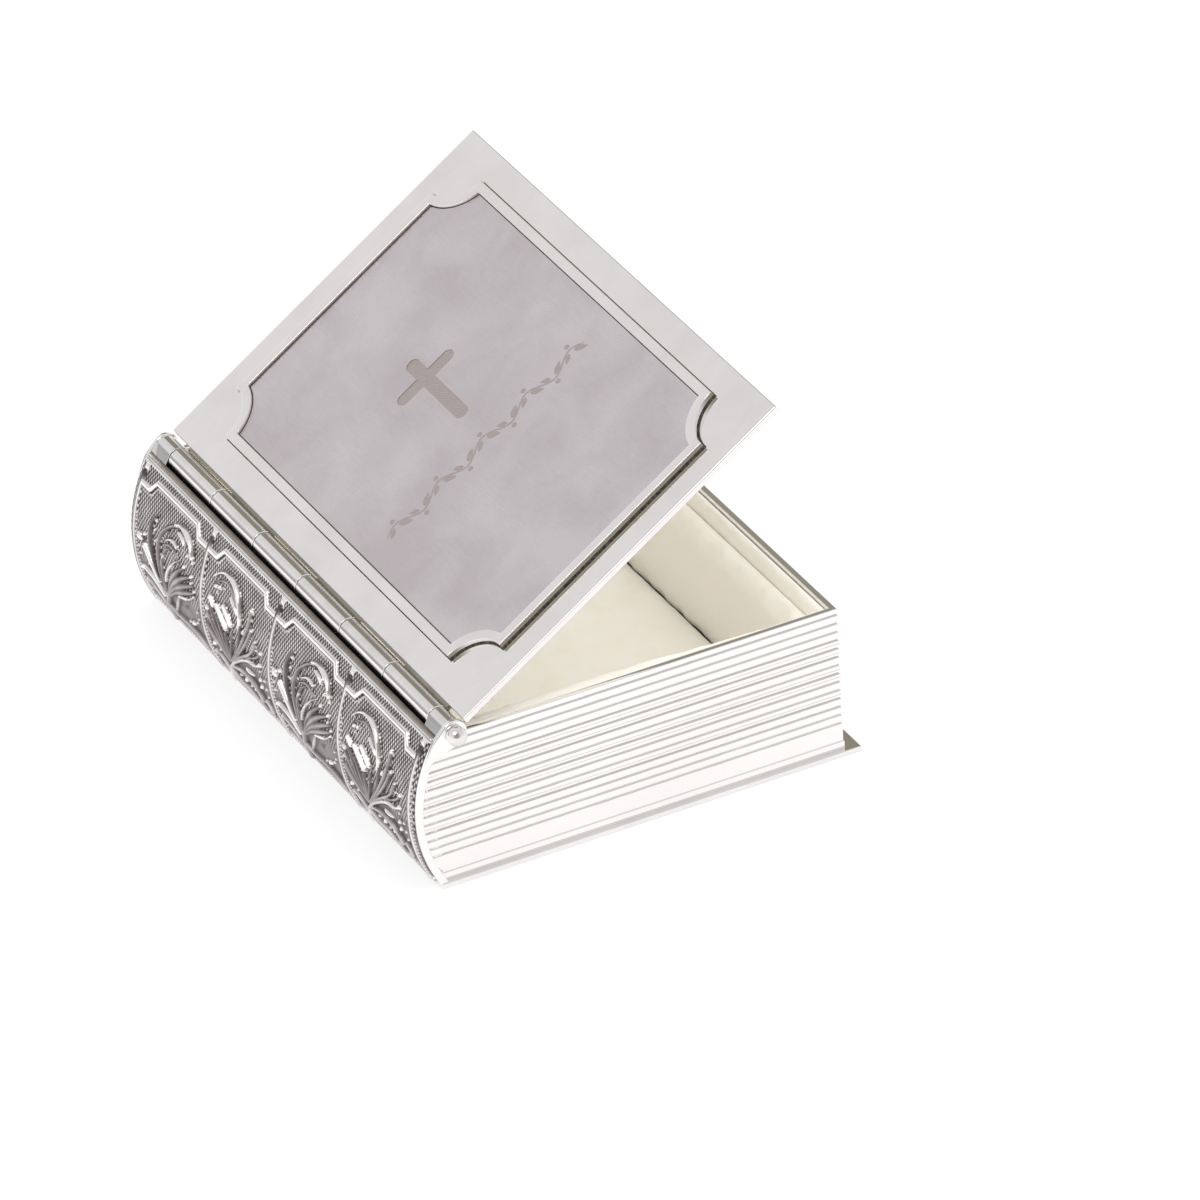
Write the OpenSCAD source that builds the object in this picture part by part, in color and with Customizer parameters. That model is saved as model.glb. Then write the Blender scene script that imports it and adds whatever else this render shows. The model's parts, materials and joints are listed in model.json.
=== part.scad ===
// Book-shaped keepsake box with a hinged cover, a ribbed page block and an embossed spine.
// Millimetres. The table is z = 0, the spine is at -X, the fore-edge at +X, the foot of the book at -Y.

/* [Base plate] */
// Width of the base plate from spine to fore-edge
base_w = 77; // [72:0.5:92]
// Length of the base plate from foot to head
base_d = 105; // [95:0.5:130]
// Thickness of the base plate
base_t = 1; // [0.8:0.1:1.6]

/* [Page block] */
// Height of the box rim above the table
rim_h = 27.9; // [25:0.1:34]
// Thickness of the three page walls
wall_t = 1.2; // [1:0.1:2]
// Step from the base plate's ends in to the page walls
page_end_in = 1; // [0.8:0.1:2.5]
// Step from the base plate's fore-edge in to the page wall
page_fore_in = 2.85; // [1.5:0.05:5]
// Spacing of the grooves between the pages
groove_pitch = 1.6; // [1.2:0.05:2.4]
// Depth of the grooves between the pages
groove_depth = 0.3; // [0.15:0.05:0.5]
// Depth of the first groove below the rim
groove_first = 1.1; // [0.8:0.1:2]
// Height of the plain band under the lowest page
plain_h = 4.9; // [4:0.1:8]
// Height of the plinth moulding at the foot of the page walls
plinth_h = 1.5; // [0.8:0.1:2.5]
// Thickness of the inner wall beside the spine
inner_wall_t = 1; // [0.8:0.1:1.6]
// How far the inner wall's top lies below the rim
inner_wall_drop = 0.9; // [0.6:0.1:2]

/* [Spine] */
// How far the spine bulges past the base plate
spine_out = 3.9; // [2.5:0.1:5]
// How far the spine's foot stands out past the base plate
spine_foot_out = 0.3; // [0.1:0.05:0.6]
// How far the spine's widest point lies below the middle of its height
spine_mid_low = 0.4; // [0:0.1:1]
// Thickness of the spine's metal
spine_t = 0.8; // [0.6:0.1:1]
// How far the spine's top edge stands above the rim
spine_over = 0.3; // [0:0.1:0.6]
// Width of the smooth rim at the spine's ends
end_rim_w = 1.3; // [1:0.1:2]
// Number of panels between the raised bands
panel_n = 4; // [2:1:6]
// Distance from the spine's ends to the middle of the outermost bands
band_end_in = 2.5; // [1.6:0.1:6]
// Width of the raised bands
band_w = 0.9; // [0.6:0.1:1.6]
// Height of the raised bands above the spine
band_h = 0.6; // [0.3:0.1:1]
// Distance from the spine's top edge down to the raised bars
bar_drop = 1.5; // [1.1:0.1:3]
// Width of the raised bars
bar_w = 1.1; // [0.7:0.1:1.8]
// How far the ends of a bar are stepped down
bar_step = 1.7; // [0.8:0.1:2.4]
// Length of a bar's low end
bar_end_l = 2.6; // [1.5:0.1:4]
// Length of the slant between a bar's low end and its middle
bar_slant_l = 1.7; // [1:0.1:3]
// Height of the bars and leaves above the spine
leaf_h = 0.5; // [0.3:0.1:0.9]
// Length of the longest leaf of each palmette
leaf_l = 13; // [9:0.5:16]

/* [Hinge] */
// Distance from the base plate's spine edge in to the hinge axis
hinge_in = 3.7; // [3.4:0.1:4.2]
// Height of the hinge axis above the rim
hinge_up = 0.7; // [0.6:0.05:1]
// Outer radius of the hinge barrel
barrel_r = 2.05; // [1.8:0.05:2.1]
// Radius of the hinge pin
pin_r = 1; // [0.7:0.05:1.2]
// Running clearance of the pin in the barrel
pin_fit = 0.05; // [0.02:0.01:0.1]
// Radius of the ball head at the pin's front end
ball_r = 1.72; // [1.4:0.02:2]
// Number of long knuckles
knuckle_n = 6; // [4:2:8]
// Length of the ear tube beyond the last knuckle
ear_l = 5.7; // [4:0.1:9]
// Gap between neighbouring knuckles
knuckle_gap = 0.2; // [0.15:0.05:0.4]
// Thickness of the hinge leaves
leaf_t = 0.5; // [0.4:0.05:0.6]
// Height of the box leaf on the inner wall
box_leaf_h = 10; // [6:0.5:16]
// Reach of the lid leaf under the cover
lid_leaf_w = 8; // [6:0.5:12]
// How far the cover stands open
open_angle = 33.8; // [0:0.1:100]

/* [Cover] */
// Thickness of the cover plate
lid_t = 1.2; // [1:0.1:1.3]
// Height of the cover's top face above the hinge axis
lid_up = 0.85; // [0.8:0.05:1.1]
// Distance from the hinge axis to the cover plate
lid_gap = 2.6; // [2.4:0.05:3.2]
// Bevel along the cover's upper edges
lid_bevel = 0.2; // [0.1:0.05:0.4]
// Step from the cover's edges in to the raised moulding
mould_in = 5.4; // [3:0.1:9]
// Width of the raised moulding
mould_w = 1.8; // [1.2:0.1:3]
// Height of the raised moulding
mould_h = 1.15; // [0.8:0.05:1.6]
// Radius of the scooped corners
scoop_r = 7.1; // [4:0.1:12]
// Thickness of the plaque inside the moulding
plaque_t = 0.6; // [0.4:0.05:0.75]
// Gap between the plaque and the moulding
plaque_gap = 0.15; // [0.05:0.05:0.3]
// Length of the etched cross
cross_l = 19.8; // [12:0.1:30]
// Span of the etched cross
cross_w = 12.6; // [8:0.1:20]
// Width of the cross's arms
cross_arm = 2.6; // [1.5:0.1:4]
// Depth of the etching
etch_depth = 0.1; // [0.05:0.01:0.2]

/* [Lining] */
// Thickness of the cards under the lining
card_t = 1; // [0.6:0.1:1.2]
// Gap left round cloth and card
cloth_gap = 0.3; // [0.2:0.05:0.5]
// Thickness of the base pad at its edges
pad_edge_t = 1.6; // [1:0.1:2.4]
// Thickness of the base pad at its crown
pad_t = 3.2; // [2.5:0.1:5]
// Thickness of the wall linings at their edges
lining_t = 1; // [0.7:0.1:1.4]
// How far the end linings bow into the box
lining_bow = 4; // [1:0.1:5]
// How far the linings' tops lie below the rim
lining_drop = 0.6; // [0.4:0.05:1.5]
// How far the fore-edge and spine pads' tops lie below the rim
side_pad_drop = 4; // [2:0.1:8]
// Thickness of the fore-edge and spine pads
side_pad_t = 2.2; // [1.5:0.1:3]
// Thickness of the cover's lining
lid_lining_t = 1.2; // [0.8:0.1:1.4]

/* [Hidden] */
$fn = 96;
half_w = base_w / 2;
half_d = base_d / 2;
inner_h = rim_h - inner_wall_drop;
hinge_x = hinge_in - half_w;
hinge_z = rim_h + hinge_up;

// Page block and the clear space inside it
page_x = half_w - page_fore_in;
page_y = half_d - page_end_in;
wall_off = barrel_r + 0.1;
leaf_x = hinge_x + wall_off;
cave_x0 = leaf_x + inner_wall_t;
cave_x1 = page_x - wall_t;
cave_y = page_y - wall_t;
groove_n = floor((rim_h - base_t - groove_first - plain_h) / groove_pitch) + 1;
groove_half = 0.28;
plinth_out = 0.15;

// Spine arc, through its foot and its widest point
spine_top = rim_h + spine_over;
spine_mid_z = (base_t + spine_top) / 2 - spine_mid_low;
spine_rise = spine_mid_z - base_t;
spine_sag = spine_out - spine_foot_out;
spine_r = (spine_rise * spine_rise + spine_sag * spine_sag) / (2 * spine_sag);
spine_x = spine_r - spine_out - half_w;
spine_in_r = spine_r - spine_t;
seam = 0.05;
past = 1;
ear_r = barrel_r + 0.25;
web_h = 4;
web_low = spine_top - web_h;
relief_low = base_t + 0.3;
relief_top = spine_top - 0.3;
band_top = spine_top - 0.8;
knuckle_l = (base_d - 2 * ear_l) / knuckle_n;
band_pitch = (base_d - 2 * band_end_in) / panel_n;
leaf_root_up = 5.7;
leaf_root_z = base_t + leaf_root_up;

// Cover
lid_x1 = half_w - hinge_x;
lid_z0 = lid_up - lid_t;
mould_x0 = lid_gap + mould_in;
mould_x1 = lid_x1 - mould_in;
mould_y = half_d - mould_in;
lid_card_in = lining_t + lining_bow + 4 * cloth_gap;
lid_card_x0 = lid_leaf_w + 2 * cloth_gap;
lid_card_x1 = cave_x1 - hinge_x - lid_card_in;
cross_x = (mould_x0 + mould_x1) / 2;
cross_y = 10.3;

// Lining
pad_z = base_t + card_t;
lining_z0 = pad_z + cloth_gap;
lining_z1 = rim_h - lining_drop;
strip_t = 0.8;
strip_gap = 0.1;
// Bow of the end linings at the height of the base pad
foot_bow = 0.4 * lining_bow;

function arc_x(r, z) = spine_x - sqrt(r * r - (z - spine_mid_z) * (z - spine_mid_z));
function polar(r, a) = [r * cos(a), r * sin(a)];
function dist(p) = sqrt(p[0] * p[0] + p[1] * p[1]);
function hinge_at(p) = [p[0] + hinge_x, p[1] + hinge_z];
function off_hinge(p) = [p[0] - hinge_x, p[1] - hinge_z];
// Point where a line from p touches the circle of radius r round the hinge axis
function tangent(p, r, side) = hinge_at(polar(r,
    atan2(off_hinge(p)[1], off_hinge(p)[0]) + side * acos(min(1, r / dist(off_hinge(p))))));

// Draws an X-Z profile from y0 to y1
module along_y(y0, y1) {
    translate([0, y1, 0])
        rotate([90, 0, 0])
            linear_extrude(y1 - y0)
                children();
}

// Draws a Y-Z profile from x0 to x1
module along_x(x0, x1) {
    translate([x0, 0, 0])
        rotate([90, 0, 90])
            linear_extrude(x1 - x0)
                children();
}

module hinge_place() {
    translate([hinge_x, 0, hinge_z])
        children();
}

module lid_place() {
    hinge_place()
        rotate([0, -open_angle, 0])
            children();
}

module cylinder_y(r, y0, y1) {
    translate([0, y1, 0])
        rotate([90, 0, 0])
            cylinder(r = r, h = y1 - y0);
}

// Ribbed face of a page wall: the outside at u = 0, the inside at u = wall_t
module page_profile() {
    groove_z = [for (k = [0 : groove_n - 1]) rim_h - groove_first - k * groove_pitch];
    outside = [for (z = groove_z) each [
        [0, z + groove_half],
        [groove_depth, z],
        [0, z - groove_half]
    ]];
    plinth = [
        [0, base_t + plinth_h + plinth_out],
        [-plinth_out, base_t + plinth_h],
        [-plinth_out, base_t]
    ];
    polygon(concat([[wall_t, rim_h], [0, rim_h]], outside, plinth, [[wall_t, base_t]]));
}

// Plan of an end wall, with its fore-edge end mitred
module end_wall_plan() {
    polygon([
        [-half_w - spine_out, -page_y - plinth_out],
        [page_x + plinth_out, -page_y - plinth_out],
        [cave_x1, -cave_y],
        [-half_w - spine_out, -cave_y]
    ]);
}

module end_page_wall() {
    difference() {
        intersection() {
            along_x(-half_w - spine_out, half_w)
                translate([-page_y, 0])
                    page_profile();
            linear_extrude(rim_h)
                end_wall_plan();
            translate([spine_x, 0, spine_mid_z])
                union() {
                    cylinder_y(spine_in_r - seam, -half_d, half_d);
                    translate([0, -half_d, -spine_r])
                        cube([2 * base_w, base_d, 2 * spine_r]);
                }
        }
        along_y(-half_d, 0)
            ear_outline(spine_r, ear_r + seam, web_low - seam);
        along_y(-half_d, -page_y)
            arc_band(spine_r - end_rim_w - seam, spine_r, 0, spine_top);
    }
}

module front_page_wall() {
    color("gainsboro")
        end_page_wall();
}

module rear_page_wall() {
    color("gainsboro")
        mirror([0, 1, 0])
            end_page_wall();
}

module fore_edge_page_wall() {
    color("gainsboro")
        intersection() {
            translate([page_x, 0, 0])
                mirror([1, 0, 0])
                    along_y(-half_d, half_d)
                        page_profile();
            linear_extrude(rim_h)
                polygon([
                    [cave_x1, -cave_y],
                    [page_x + plinth_out, -page_y - plinth_out],
                    [page_x + plinth_out, page_y + plinth_out],
                    [cave_x1, cave_y]
                ]);
        }
}

module spine_side_wall() {
    color("silver")
        translate([leaf_x, -cave_y, base_t])
            cube([inner_wall_t, 2 * cave_y, inner_h - base_t]);
}

module base_plate() {
    color("silver")
        translate([-half_w, -half_d, 0])
            cube([base_w, base_d, base_t]);
}

// Part of the spine's arc between two radii and two heights
module arc_band(r0, r1, z0, z1) {
    intersection() {
        translate([spine_x, spine_mid_z])
            difference() {
                circle(r = r1);
                circle(r = r0);
            }
        translate([spine_x - 2 * spine_r, z0])
            square([2 * spine_r, z1 - z0]);
    }
}

// Ring round the hinge pin and the web that joins it to the spine
module ear_outline(arc_r, r, low) {
    top = [arc_x(arc_r, spine_top), spine_top];
    foot = [arc_x(spine_in_r, low), low];
    hinge_profile()
        circle(r = r);
    polygon([top, tangent(top, r - seam, -1), [hinge_x, hinge_z], tangent(foot, r - seam, 1), foot]);
}

module hinge_profile() {
    translate([hinge_x, hinge_z])
        children();
}

// Outline of a pointed leaf of length l and width w, starting a little way from the origin
module leaf_shape(l, w) {
    start = 1.6;
    side = [for (t = [0.15, 0.4, 0.65, 0.85]) [w / 2 * sin(180 * pow(t, 0.8)), start + t * l]];
    back = [for (k = [3 : -1 : 0]) [-side[k][0], side[k][1]]];
    polygon(concat([[0, start]], side, [[0, start + l]], back));
}

// Palmette of seven leaves over two curled ones
module palmette() {
    leaf_shape(leaf_l, 3);
    for (side = [-1, 1]) {
        rotate(side * 24)
            leaf_shape(leaf_l * 0.86, 2.4);
        rotate(side * 50)
            leaf_shape(leaf_l * 0.72, 2.2);
        rotate(side * 80)
            leaf_shape(leaf_l * 0.6, 2);
        rotate(side * 118)
            leaf_shape(leaf_l * 0.42, 1.8);
    }
}

// Bar with stepped ends that closes the top of a panel
module panel_bar() {
    end = band_pitch / 2 - band_w / 2 + seam;
    inset = [end, end - bar_end_l, end - bar_end_l - bar_slant_l];
    low = -bar_step;
    mitre = 0.5;
    polygon([
        [-inset[0], low], [-inset[1], low], [-inset[2], 0], [inset[2], 0], [inset[1], low], [inset[0], low],
        [inset[0], low - bar_w], [inset[1] - mitre, low - bar_w], [inset[2] - mitre, -bar_w],
        [mitre - inset[2], -bar_w], [mitre - inset[1], low - bar_w], [-inset[0], low - bar_w]
    ]);
}

// Relief of one panel, seen from the spine side
module panel_relief() {
    translate([0, spine_top - bar_drop])
        panel_bar();
    translate([0, leaf_root_z])
        palmette();
}

module spine_shell() {
    color("slategray") {
        along_y(-page_y + seam, page_y - seam)
            arc_band(spine_in_r, spine_r, base_t, spine_top);
        for (k = [0 : panel_n])
            let (y = (k - panel_n / 2) * band_pitch)
                along_y(y - band_w / 2, y + band_w / 2)
                    arc_band(spine_r - spine_t / 2, spine_r + band_h, relief_low, band_top);
        intersection() {
            along_y(-page_y + seam, page_y - seam)
                arc_band(spine_r - spine_t / 2, spine_r + leaf_h, relief_low, relief_top);
            for (k = [0 : panel_n - 1])
                let (y = (k - (panel_n - 1) / 2) * band_pitch)
                    translate([0, y, 0])
                        along_x(-half_w - spine_out - past, hinge_x)
                            panel_relief();
        }
    }
}

// Smooth rim on the end of the spine, with the ear that holds the hinge pin
module spine_rim() {
    difference() {
        union() {
            along_y(-half_d, -page_y) {
                arc_band(spine_r - end_rim_w, spine_r, base_t, spine_top);
                ear_outline(spine_r, ear_r, web_low);
            }
            along_y(-page_y, ear_l - half_d - knuckle_gap / 2)
                ear_outline(spine_in_r - seam, barrel_r, web_low);
        }
        hinge_place()
            cylinder_y(pin_r + pin_fit, -half_d - past, 0);
    }
}

module front_spine_rim() {
    color("gainsboro")
        spine_rim();
}

module rear_spine_rim() {
    color("gainsboro")
        mirror([0, 1, 0])
            spine_rim();
}

// Start of long knuckle k, counted from the foot of the book
function knuckle_y(k) = (k - knuckle_n / 2) * knuckle_l + knuckle_gap / 2;

module knuckle(k) {
    cylinder_y(barrel_r, knuckle_y(k), knuckle_y(k) + knuckle_l - knuckle_gap);
}

module knuckle_bore() {
    cylinder_y(pin_r + pin_fit, -half_d, half_d);
}

module box_hinge_leaf() {
    leaf_y = knuckle_n * knuckle_l / 2 - knuckle_gap;
    leaf_z = -barrel_r - 0.4;
    color("silver")
        hinge_place()
            difference() {
                union() {
                    for (k = [1 : 2 : knuckle_n - 1]) {
                        knuckle(k);
                        translate([wall_off - leaf_t, knuckle_y(k), leaf_z - 0.1])
                            cube([leaf_t, knuckle_l - knuckle_gap, -leaf_z]);
                    }
                    translate([wall_off - leaf_t, -leaf_y, leaf_z - box_leaf_h])
                        cube([leaf_t, 2 * leaf_y, box_leaf_h]);
                }
                knuckle_bore();
            }
}

module lid_hinge_leaf() {
    leaf_y = knuckle_n * knuckle_l / 2 - knuckle_gap;
    color("silver")
        lid_place()
            difference() {
                union() {
                    for (k = [0 : 2 : knuckle_n - 1]) {
                        knuckle(k);
                        translate([pin_r + pin_fit, knuckle_y(k), lid_z0 - leaf_t])
                            cube([lid_leaf_w / 2, knuckle_l - knuckle_gap, leaf_t]);
                    }
                    translate([lid_gap, -leaf_y, lid_z0 - leaf_t])
                        cube([lid_leaf_w - lid_gap, 2 * leaf_y, leaf_t]);
                }
                knuckle_bore();
            }
}

// Pin with a ball head in front and a plain end behind
module hinge_pin() {
    ball_out = 0.75;
    tail_out = 0.2;
    color("gainsboro")
        hinge_place() {
            cylinder_y(pin_r, -half_d - ball_out, half_d + tail_out);
            difference() {
                translate([0, -half_d - ball_out, 0])
                    rotate([90, 0, 0])
                        sphere(r = ball_r);
                translate([-ball_r, -half_d - seam, -ball_r])
                    cube(2 * ball_r);
            }
        }
}

// Rectangle with four scooped corners; inset moves the outline inwards
module scooped_outline(inset) {
    difference() {
        translate([mould_x0 + inset, -mould_y + inset])
            square([mould_x1 - mould_x0 - 2 * inset, 2 * (mould_y - inset)]);
        for (x = [mould_x0, mould_x1])
            for (y = [-mould_y, mould_y])
                translate([x, y])
                    circle(r = scoop_r + inset);
    }
}

// Plate with its upper edges bevelled
module bevelled_plate(x0, x1, y1, z0, z1, bevel) {
    intersection() {
        along_y(-y1, y1)
            polygon([[x0, z0], [x1, z0], [x1, z1 - bevel], [x1 - bevel, z1], [x0 + bevel, z1], [x0, z1 - bevel]]);
        along_x(x0, x1)
            polygon([[-y1, z0], [y1, z0], [y1, z1 - bevel], [y1 - bevel, z1], [bevel - y1, z1], [-y1, z1 - bevel]]);
    }
}

module lid_plate() {
    color("gainsboro")
        lid_place()
            bevelled_plate(lid_gap, lid_x1, half_d, lid_z0, lid_up, lid_bevel);
}

module lid_moulding() {
    color("whitesmoke")
        lid_place()
            translate([0, 0, lid_up])
                linear_extrude(mould_h)
                    difference() {
                        scooped_outline(0);
                        scooped_outline(mould_w);
                    }
}

// Upright and bar of the cross, with round ends
module cross_outline() {
    head = 5.8;
    module arm(l) {
        translate([-cross_arm / 2, -l / 2 + cross_arm / 2])
            square([cross_arm, l - cross_arm]);
        for (end = [-1, 1])
            translate([0, end * (l - cross_arm) / 2])
                circle(d = cross_arm);
    }
    arm(cross_l);
    translate([0, cross_l / 2 - head])
        rotate(90)
            arm(cross_w);
}

module lid_plaque() {
    color("lightgray")
        lid_place()
            difference() {
                translate([0, 0, lid_up])
                    linear_extrude(plaque_t)
                        scooped_outline(mould_w + plaque_gap);
                translate([cross_x, cross_y, lid_up + plaque_t - etch_depth])
                    linear_extrude(past)
                        cross_outline();
            }
}

module lid_card() {
    color("tan")
        lid_place()
            translate([lid_card_x0, lid_card_in - cave_y, lid_z0 - card_t])
                cube([lid_card_x1 - lid_card_x0, 2 * (cave_y - lid_card_in), card_t]);
}

module base_card() {
    color("tan")
        translate([cave_x0 + cloth_gap, cloth_gap - cave_y, base_t])
            cube([cave_x1 - cave_x0 - 2 * cloth_gap, 2 * (cave_y - cloth_gap), card_t]);
}

// Closed cushion with a flat back at z = 0; rows holds the points of its front face, which the back repeats
module cushion(rows) {
    nu = len(rows);
    nv = len(rows[0]);
    front = [for (row = rows) for (p = row) p];
    back = [for (row = rows) for (p = row) [p[0], p[1], 0]];
    n = nu * nv;
    function id(i, j) = i * nv + j;
    top_faces = [for (i = [0 : nu - 2]) for (j = [0 : nv - 2]) each [
        [id(i, j), id(i, j + 1), id(i + 1, j + 1)],
        [id(i, j), id(i + 1, j + 1), id(i + 1, j)]
    ]];
    back_faces = [for (f = top_faces) [f[2] + n, f[1] + n, f[0] + n]];
    rim = concat(
        [for (j = [0 : nv - 2]) id(0, j)],
        [for (i = [0 : nu - 2]) id(i, nv - 1)],
        [for (j = [nv - 1 : -1 : 1]) id(nu - 1, j)],
        [for (i = [nu - 1 : -1 : 1]) id(i, 0)]
    );
    m = len(rim);
    side_faces = [for (k = [0 : m - 1]) each [
        [rim[k], rim[k] + n, rim[(k + 1) % m] + n],
        [rim[k], rim[(k + 1) % m] + n, rim[(k + 1) % m]]
    ]];
    polyhedron(points = concat(front, back), faces = concat(top_faces, back_faces, side_faces));
}

// Steps across a cushion, closer together near its edges
cushion_steps = [-1, -0.97, -0.88, -0.7, -0.4, 0, 0.4, 0.7, 0.88, 0.97, 1];
// Rise of a stuffed edge: 0 at the seam, 1 in the middle
function swell(u) = pow(1 - pow(abs(u), 4), 0.5);

// Cushion of length l and width w with edge thickness e and crown c
module crowned_cushion(l, w, e, c) {
    cushion([for (u = cushion_steps) [for (v = cushion_steps)
        [u * l / 2, v * w / 2, e + (c - e) * swell(u) * swell(v)]]]);
}

module base_pad() {
    x0 = cave_x0 + side_pad_t + 2 * cloth_gap;
    x1 = cave_x1 - strip_t - side_pad_t - 2 * cloth_gap - strip_gap;
    y1 = cave_y - strip_gap - lining_t - foot_bow - cloth_gap;
    color("ivory")
        translate([(x0 + x1) / 2, 0, pad_z])
            crowned_cushion(x1 - x0, 2 * y1, pad_edge_t, pad_t);
}

module lid_lining() {
    color("ivory")
        lid_place()
            translate([(lid_card_x0 + lid_card_x1) / 2, 0, lid_z0 - card_t])
                rotate([180, 0, 0])
                    crowned_cushion(lid_card_x1 - lid_card_x0, 2 * (cave_y - lid_card_in),
                        lid_lining_t / 2, lid_lining_t);
}

// Steps along an end lining from the spine (0) to the fore-edge (1), and up it from its foot to its top
lining_steps = [for (k = [0 : 16]) k / 16];
rise_steps = [0, 0.25, 0.5, 0.7, 0.84, 0.93, 0.98, 1];
// The bow is fullest a third of the way along, and dies out before the fore-edge
function bow(s) = pow(max(0, 1 - pow((s - 0.27) / 0.64, 2)), 1.5);
function lean(t) = 0.25 + 0.75 * pow(t, 0.8);
function turn_in(t) = sqrt(max(0, 1 - pow(max(0, t - 0.84) / 0.16, 2)));

// Lining of an end wall: flat against the wall, bowed into the box, round along its top
module end_lining() {
    l = cave_x1 - cave_x0 - strip_t - 2 * cloth_gap - strip_gap;
    h = lining_z1 - lining_z0;
    translate([cave_x0 + cloth_gap, -cave_y + strip_gap, lining_z0])
        rotate([90, 0, 0])
            mirror([0, 0, 1])
                cushion([for (t = rise_steps) [for (s = lining_steps)
                    [s * l, t * h, (lining_t + lining_bow * bow(s) * lean(t)) * (0.35 + 0.65 * turn_in(t))]]]);
}

module front_lining() {
    color("ivory")
        end_lining();
}

module rear_lining() {
    color("ivory")
        mirror([0, 1, 0])
            end_lining();
}

// Pads on the fore-edge and spine walls, lying between the end linings
fore_pad_l = 2 * (cave_y - strip_gap - lining_t - cloth_gap);
spine_bow = lining_bow * bow((side_pad_t + cloth_gap) / (cave_x1 - cave_x0));
spine_pad_l = fore_pad_l - 2 * spine_bow;
side_pad_h = rim_h - side_pad_drop - lining_z0;

module spine_lining() {
    color("ivory")
        translate([cave_x0 + strip_gap, 0, lining_z0 + side_pad_h / 2])
            rotate([90, 0, 90])
                crowned_cushion(spine_pad_l, side_pad_h, side_pad_t / 2, side_pad_t);
}

module fore_edge_strip() {
    color("ivory")
        translate([cave_x1 - strip_gap - strip_t, strip_gap - cave_y, lining_z0])
            cube([strip_t, 2 * (cave_y - strip_gap), lining_z1 - lining_z0]);
}

module fore_edge_lining() {
    color("ivory")
        translate([cave_x1 - 2 * strip_gap - strip_t, 0, lining_z0 + side_pad_h / 2])
            rotate([90, 0, -90])
                crowned_cushion(fore_pad_l, side_pad_h, side_pad_t / 2, side_pad_t);
}

base_plate();
front_page_wall();
rear_page_wall();
fore_edge_page_wall();
spine_side_wall();
spine_shell();
front_spine_rim();
rear_spine_rim();
box_hinge_leaf();
lid_hinge_leaf();
hinge_pin();
lid_plate();
lid_moulding();
lid_plaque();
lid_card();
lid_lining();
base_card();
base_pad();
front_lining();
rear_lining();
spine_lining();
fore_edge_strip();
fore_edge_lining();
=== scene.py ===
# Book-shaped keepsake box: hinged cover, pressed spine, page edges and padded lining
import json
import math
import random
import bpy
import bmesh
import numpy as np
from mathutils import Matrix, Vector
from mathutils.bvhtree import BVHTree


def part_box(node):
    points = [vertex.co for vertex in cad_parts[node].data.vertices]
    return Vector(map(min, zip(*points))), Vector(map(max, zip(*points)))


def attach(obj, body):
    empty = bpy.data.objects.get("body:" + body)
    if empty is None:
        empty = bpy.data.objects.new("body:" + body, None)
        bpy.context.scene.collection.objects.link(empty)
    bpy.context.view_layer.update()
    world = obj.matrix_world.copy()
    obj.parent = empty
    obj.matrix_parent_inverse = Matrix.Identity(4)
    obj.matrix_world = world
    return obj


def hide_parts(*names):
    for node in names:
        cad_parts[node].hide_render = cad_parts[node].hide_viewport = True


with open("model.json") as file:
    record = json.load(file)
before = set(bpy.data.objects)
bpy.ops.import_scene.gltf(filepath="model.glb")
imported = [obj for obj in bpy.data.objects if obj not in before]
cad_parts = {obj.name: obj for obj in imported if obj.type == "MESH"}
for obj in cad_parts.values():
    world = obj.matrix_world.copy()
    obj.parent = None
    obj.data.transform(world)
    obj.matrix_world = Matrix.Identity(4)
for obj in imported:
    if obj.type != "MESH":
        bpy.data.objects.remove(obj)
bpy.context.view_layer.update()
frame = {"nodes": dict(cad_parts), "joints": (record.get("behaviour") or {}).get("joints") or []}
mm = 0.001


def boxMm(node):  # a node's corners in millimetres
    low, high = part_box(node)
    return low / mm, high / mm


# Main places, all taken from the frame, in millimetres
hingeJoint = frame["joints"][0]
hinge = Vector(hingeJoint["pos_m"]) / mm
openAngle = math.radians(-hingeJoint["range_deg"][0])
lidPlace = Matrix.Translation(hinge) @ Matrix.Rotation(-openAngle, 4, "Y")
baseLow, baseHigh = boxMm("base_plate")
halfDepth = baseHigh.y
rimTop = boxMm("front_page_wall")[1].z
foreOut = boxMm("fore_edge_page_wall")[1].x
spineTop = boxMm("spine_shell")[1].z
print("frame loaded: hinge at", [round(c, 2) for c in hinge], "cover open", round(math.degrees(openAngle), 1))


# Camera: long lens, low three-quarter view over the foot of the spine
cameraView = {
    "azimuth": -25.753,
    "elevation": 31.703,
    "roll": -3.492,
    "lens": 360,
    "distance": 1968.4,
    "target": (0.2, 0, 29.17),
    "aimRight": 17.02,
    "aimDown": 12.78,
}


def makeCamera():
    azimuth, elevation, roll = (math.radians(cameraView[k]) for k in ("azimuth", "elevation", "roll"))
    back = Vector((math.sin(azimuth) * math.cos(elevation),
                   -math.cos(azimuth) * math.cos(elevation), math.sin(elevation)))
    right = Vector((math.cos(azimuth), math.sin(azimuth), 0))
    up = back.cross(right)
    tiltedRight = math.cos(roll) * right + math.sin(roll) * up
    tiltedUp = math.cos(roll) * up - math.sin(roll) * right
    target = Vector(cameraView["target"])
    place = target + back * cameraView["distance"]
    aim = target + tiltedRight * cameraView["aimRight"] - tiltedUp * cameraView["aimDown"]
    away = (place - aim).normalized()
    side = tiltedUp.cross(away).normalized()
    upright = away.cross(side)
    data = bpy.data.cameras.new("boxCamera")
    data.sensor_width = 36
    data.lens = cameraView["lens"]
    data.clip_start, data.clip_end = 0.1, 20
    camera = bpy.data.objects.new("boxCamera", data)
    turn = Matrix((side, upright, away)).transposed().to_4x4()
    camera.matrix_world = Matrix.Translation(place * mm) @ turn
    bpy.context.scene.collection.objects.link(camera)
    bpy.context.scene.camera = camera


makeCamera()
print("camera placed")


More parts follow.
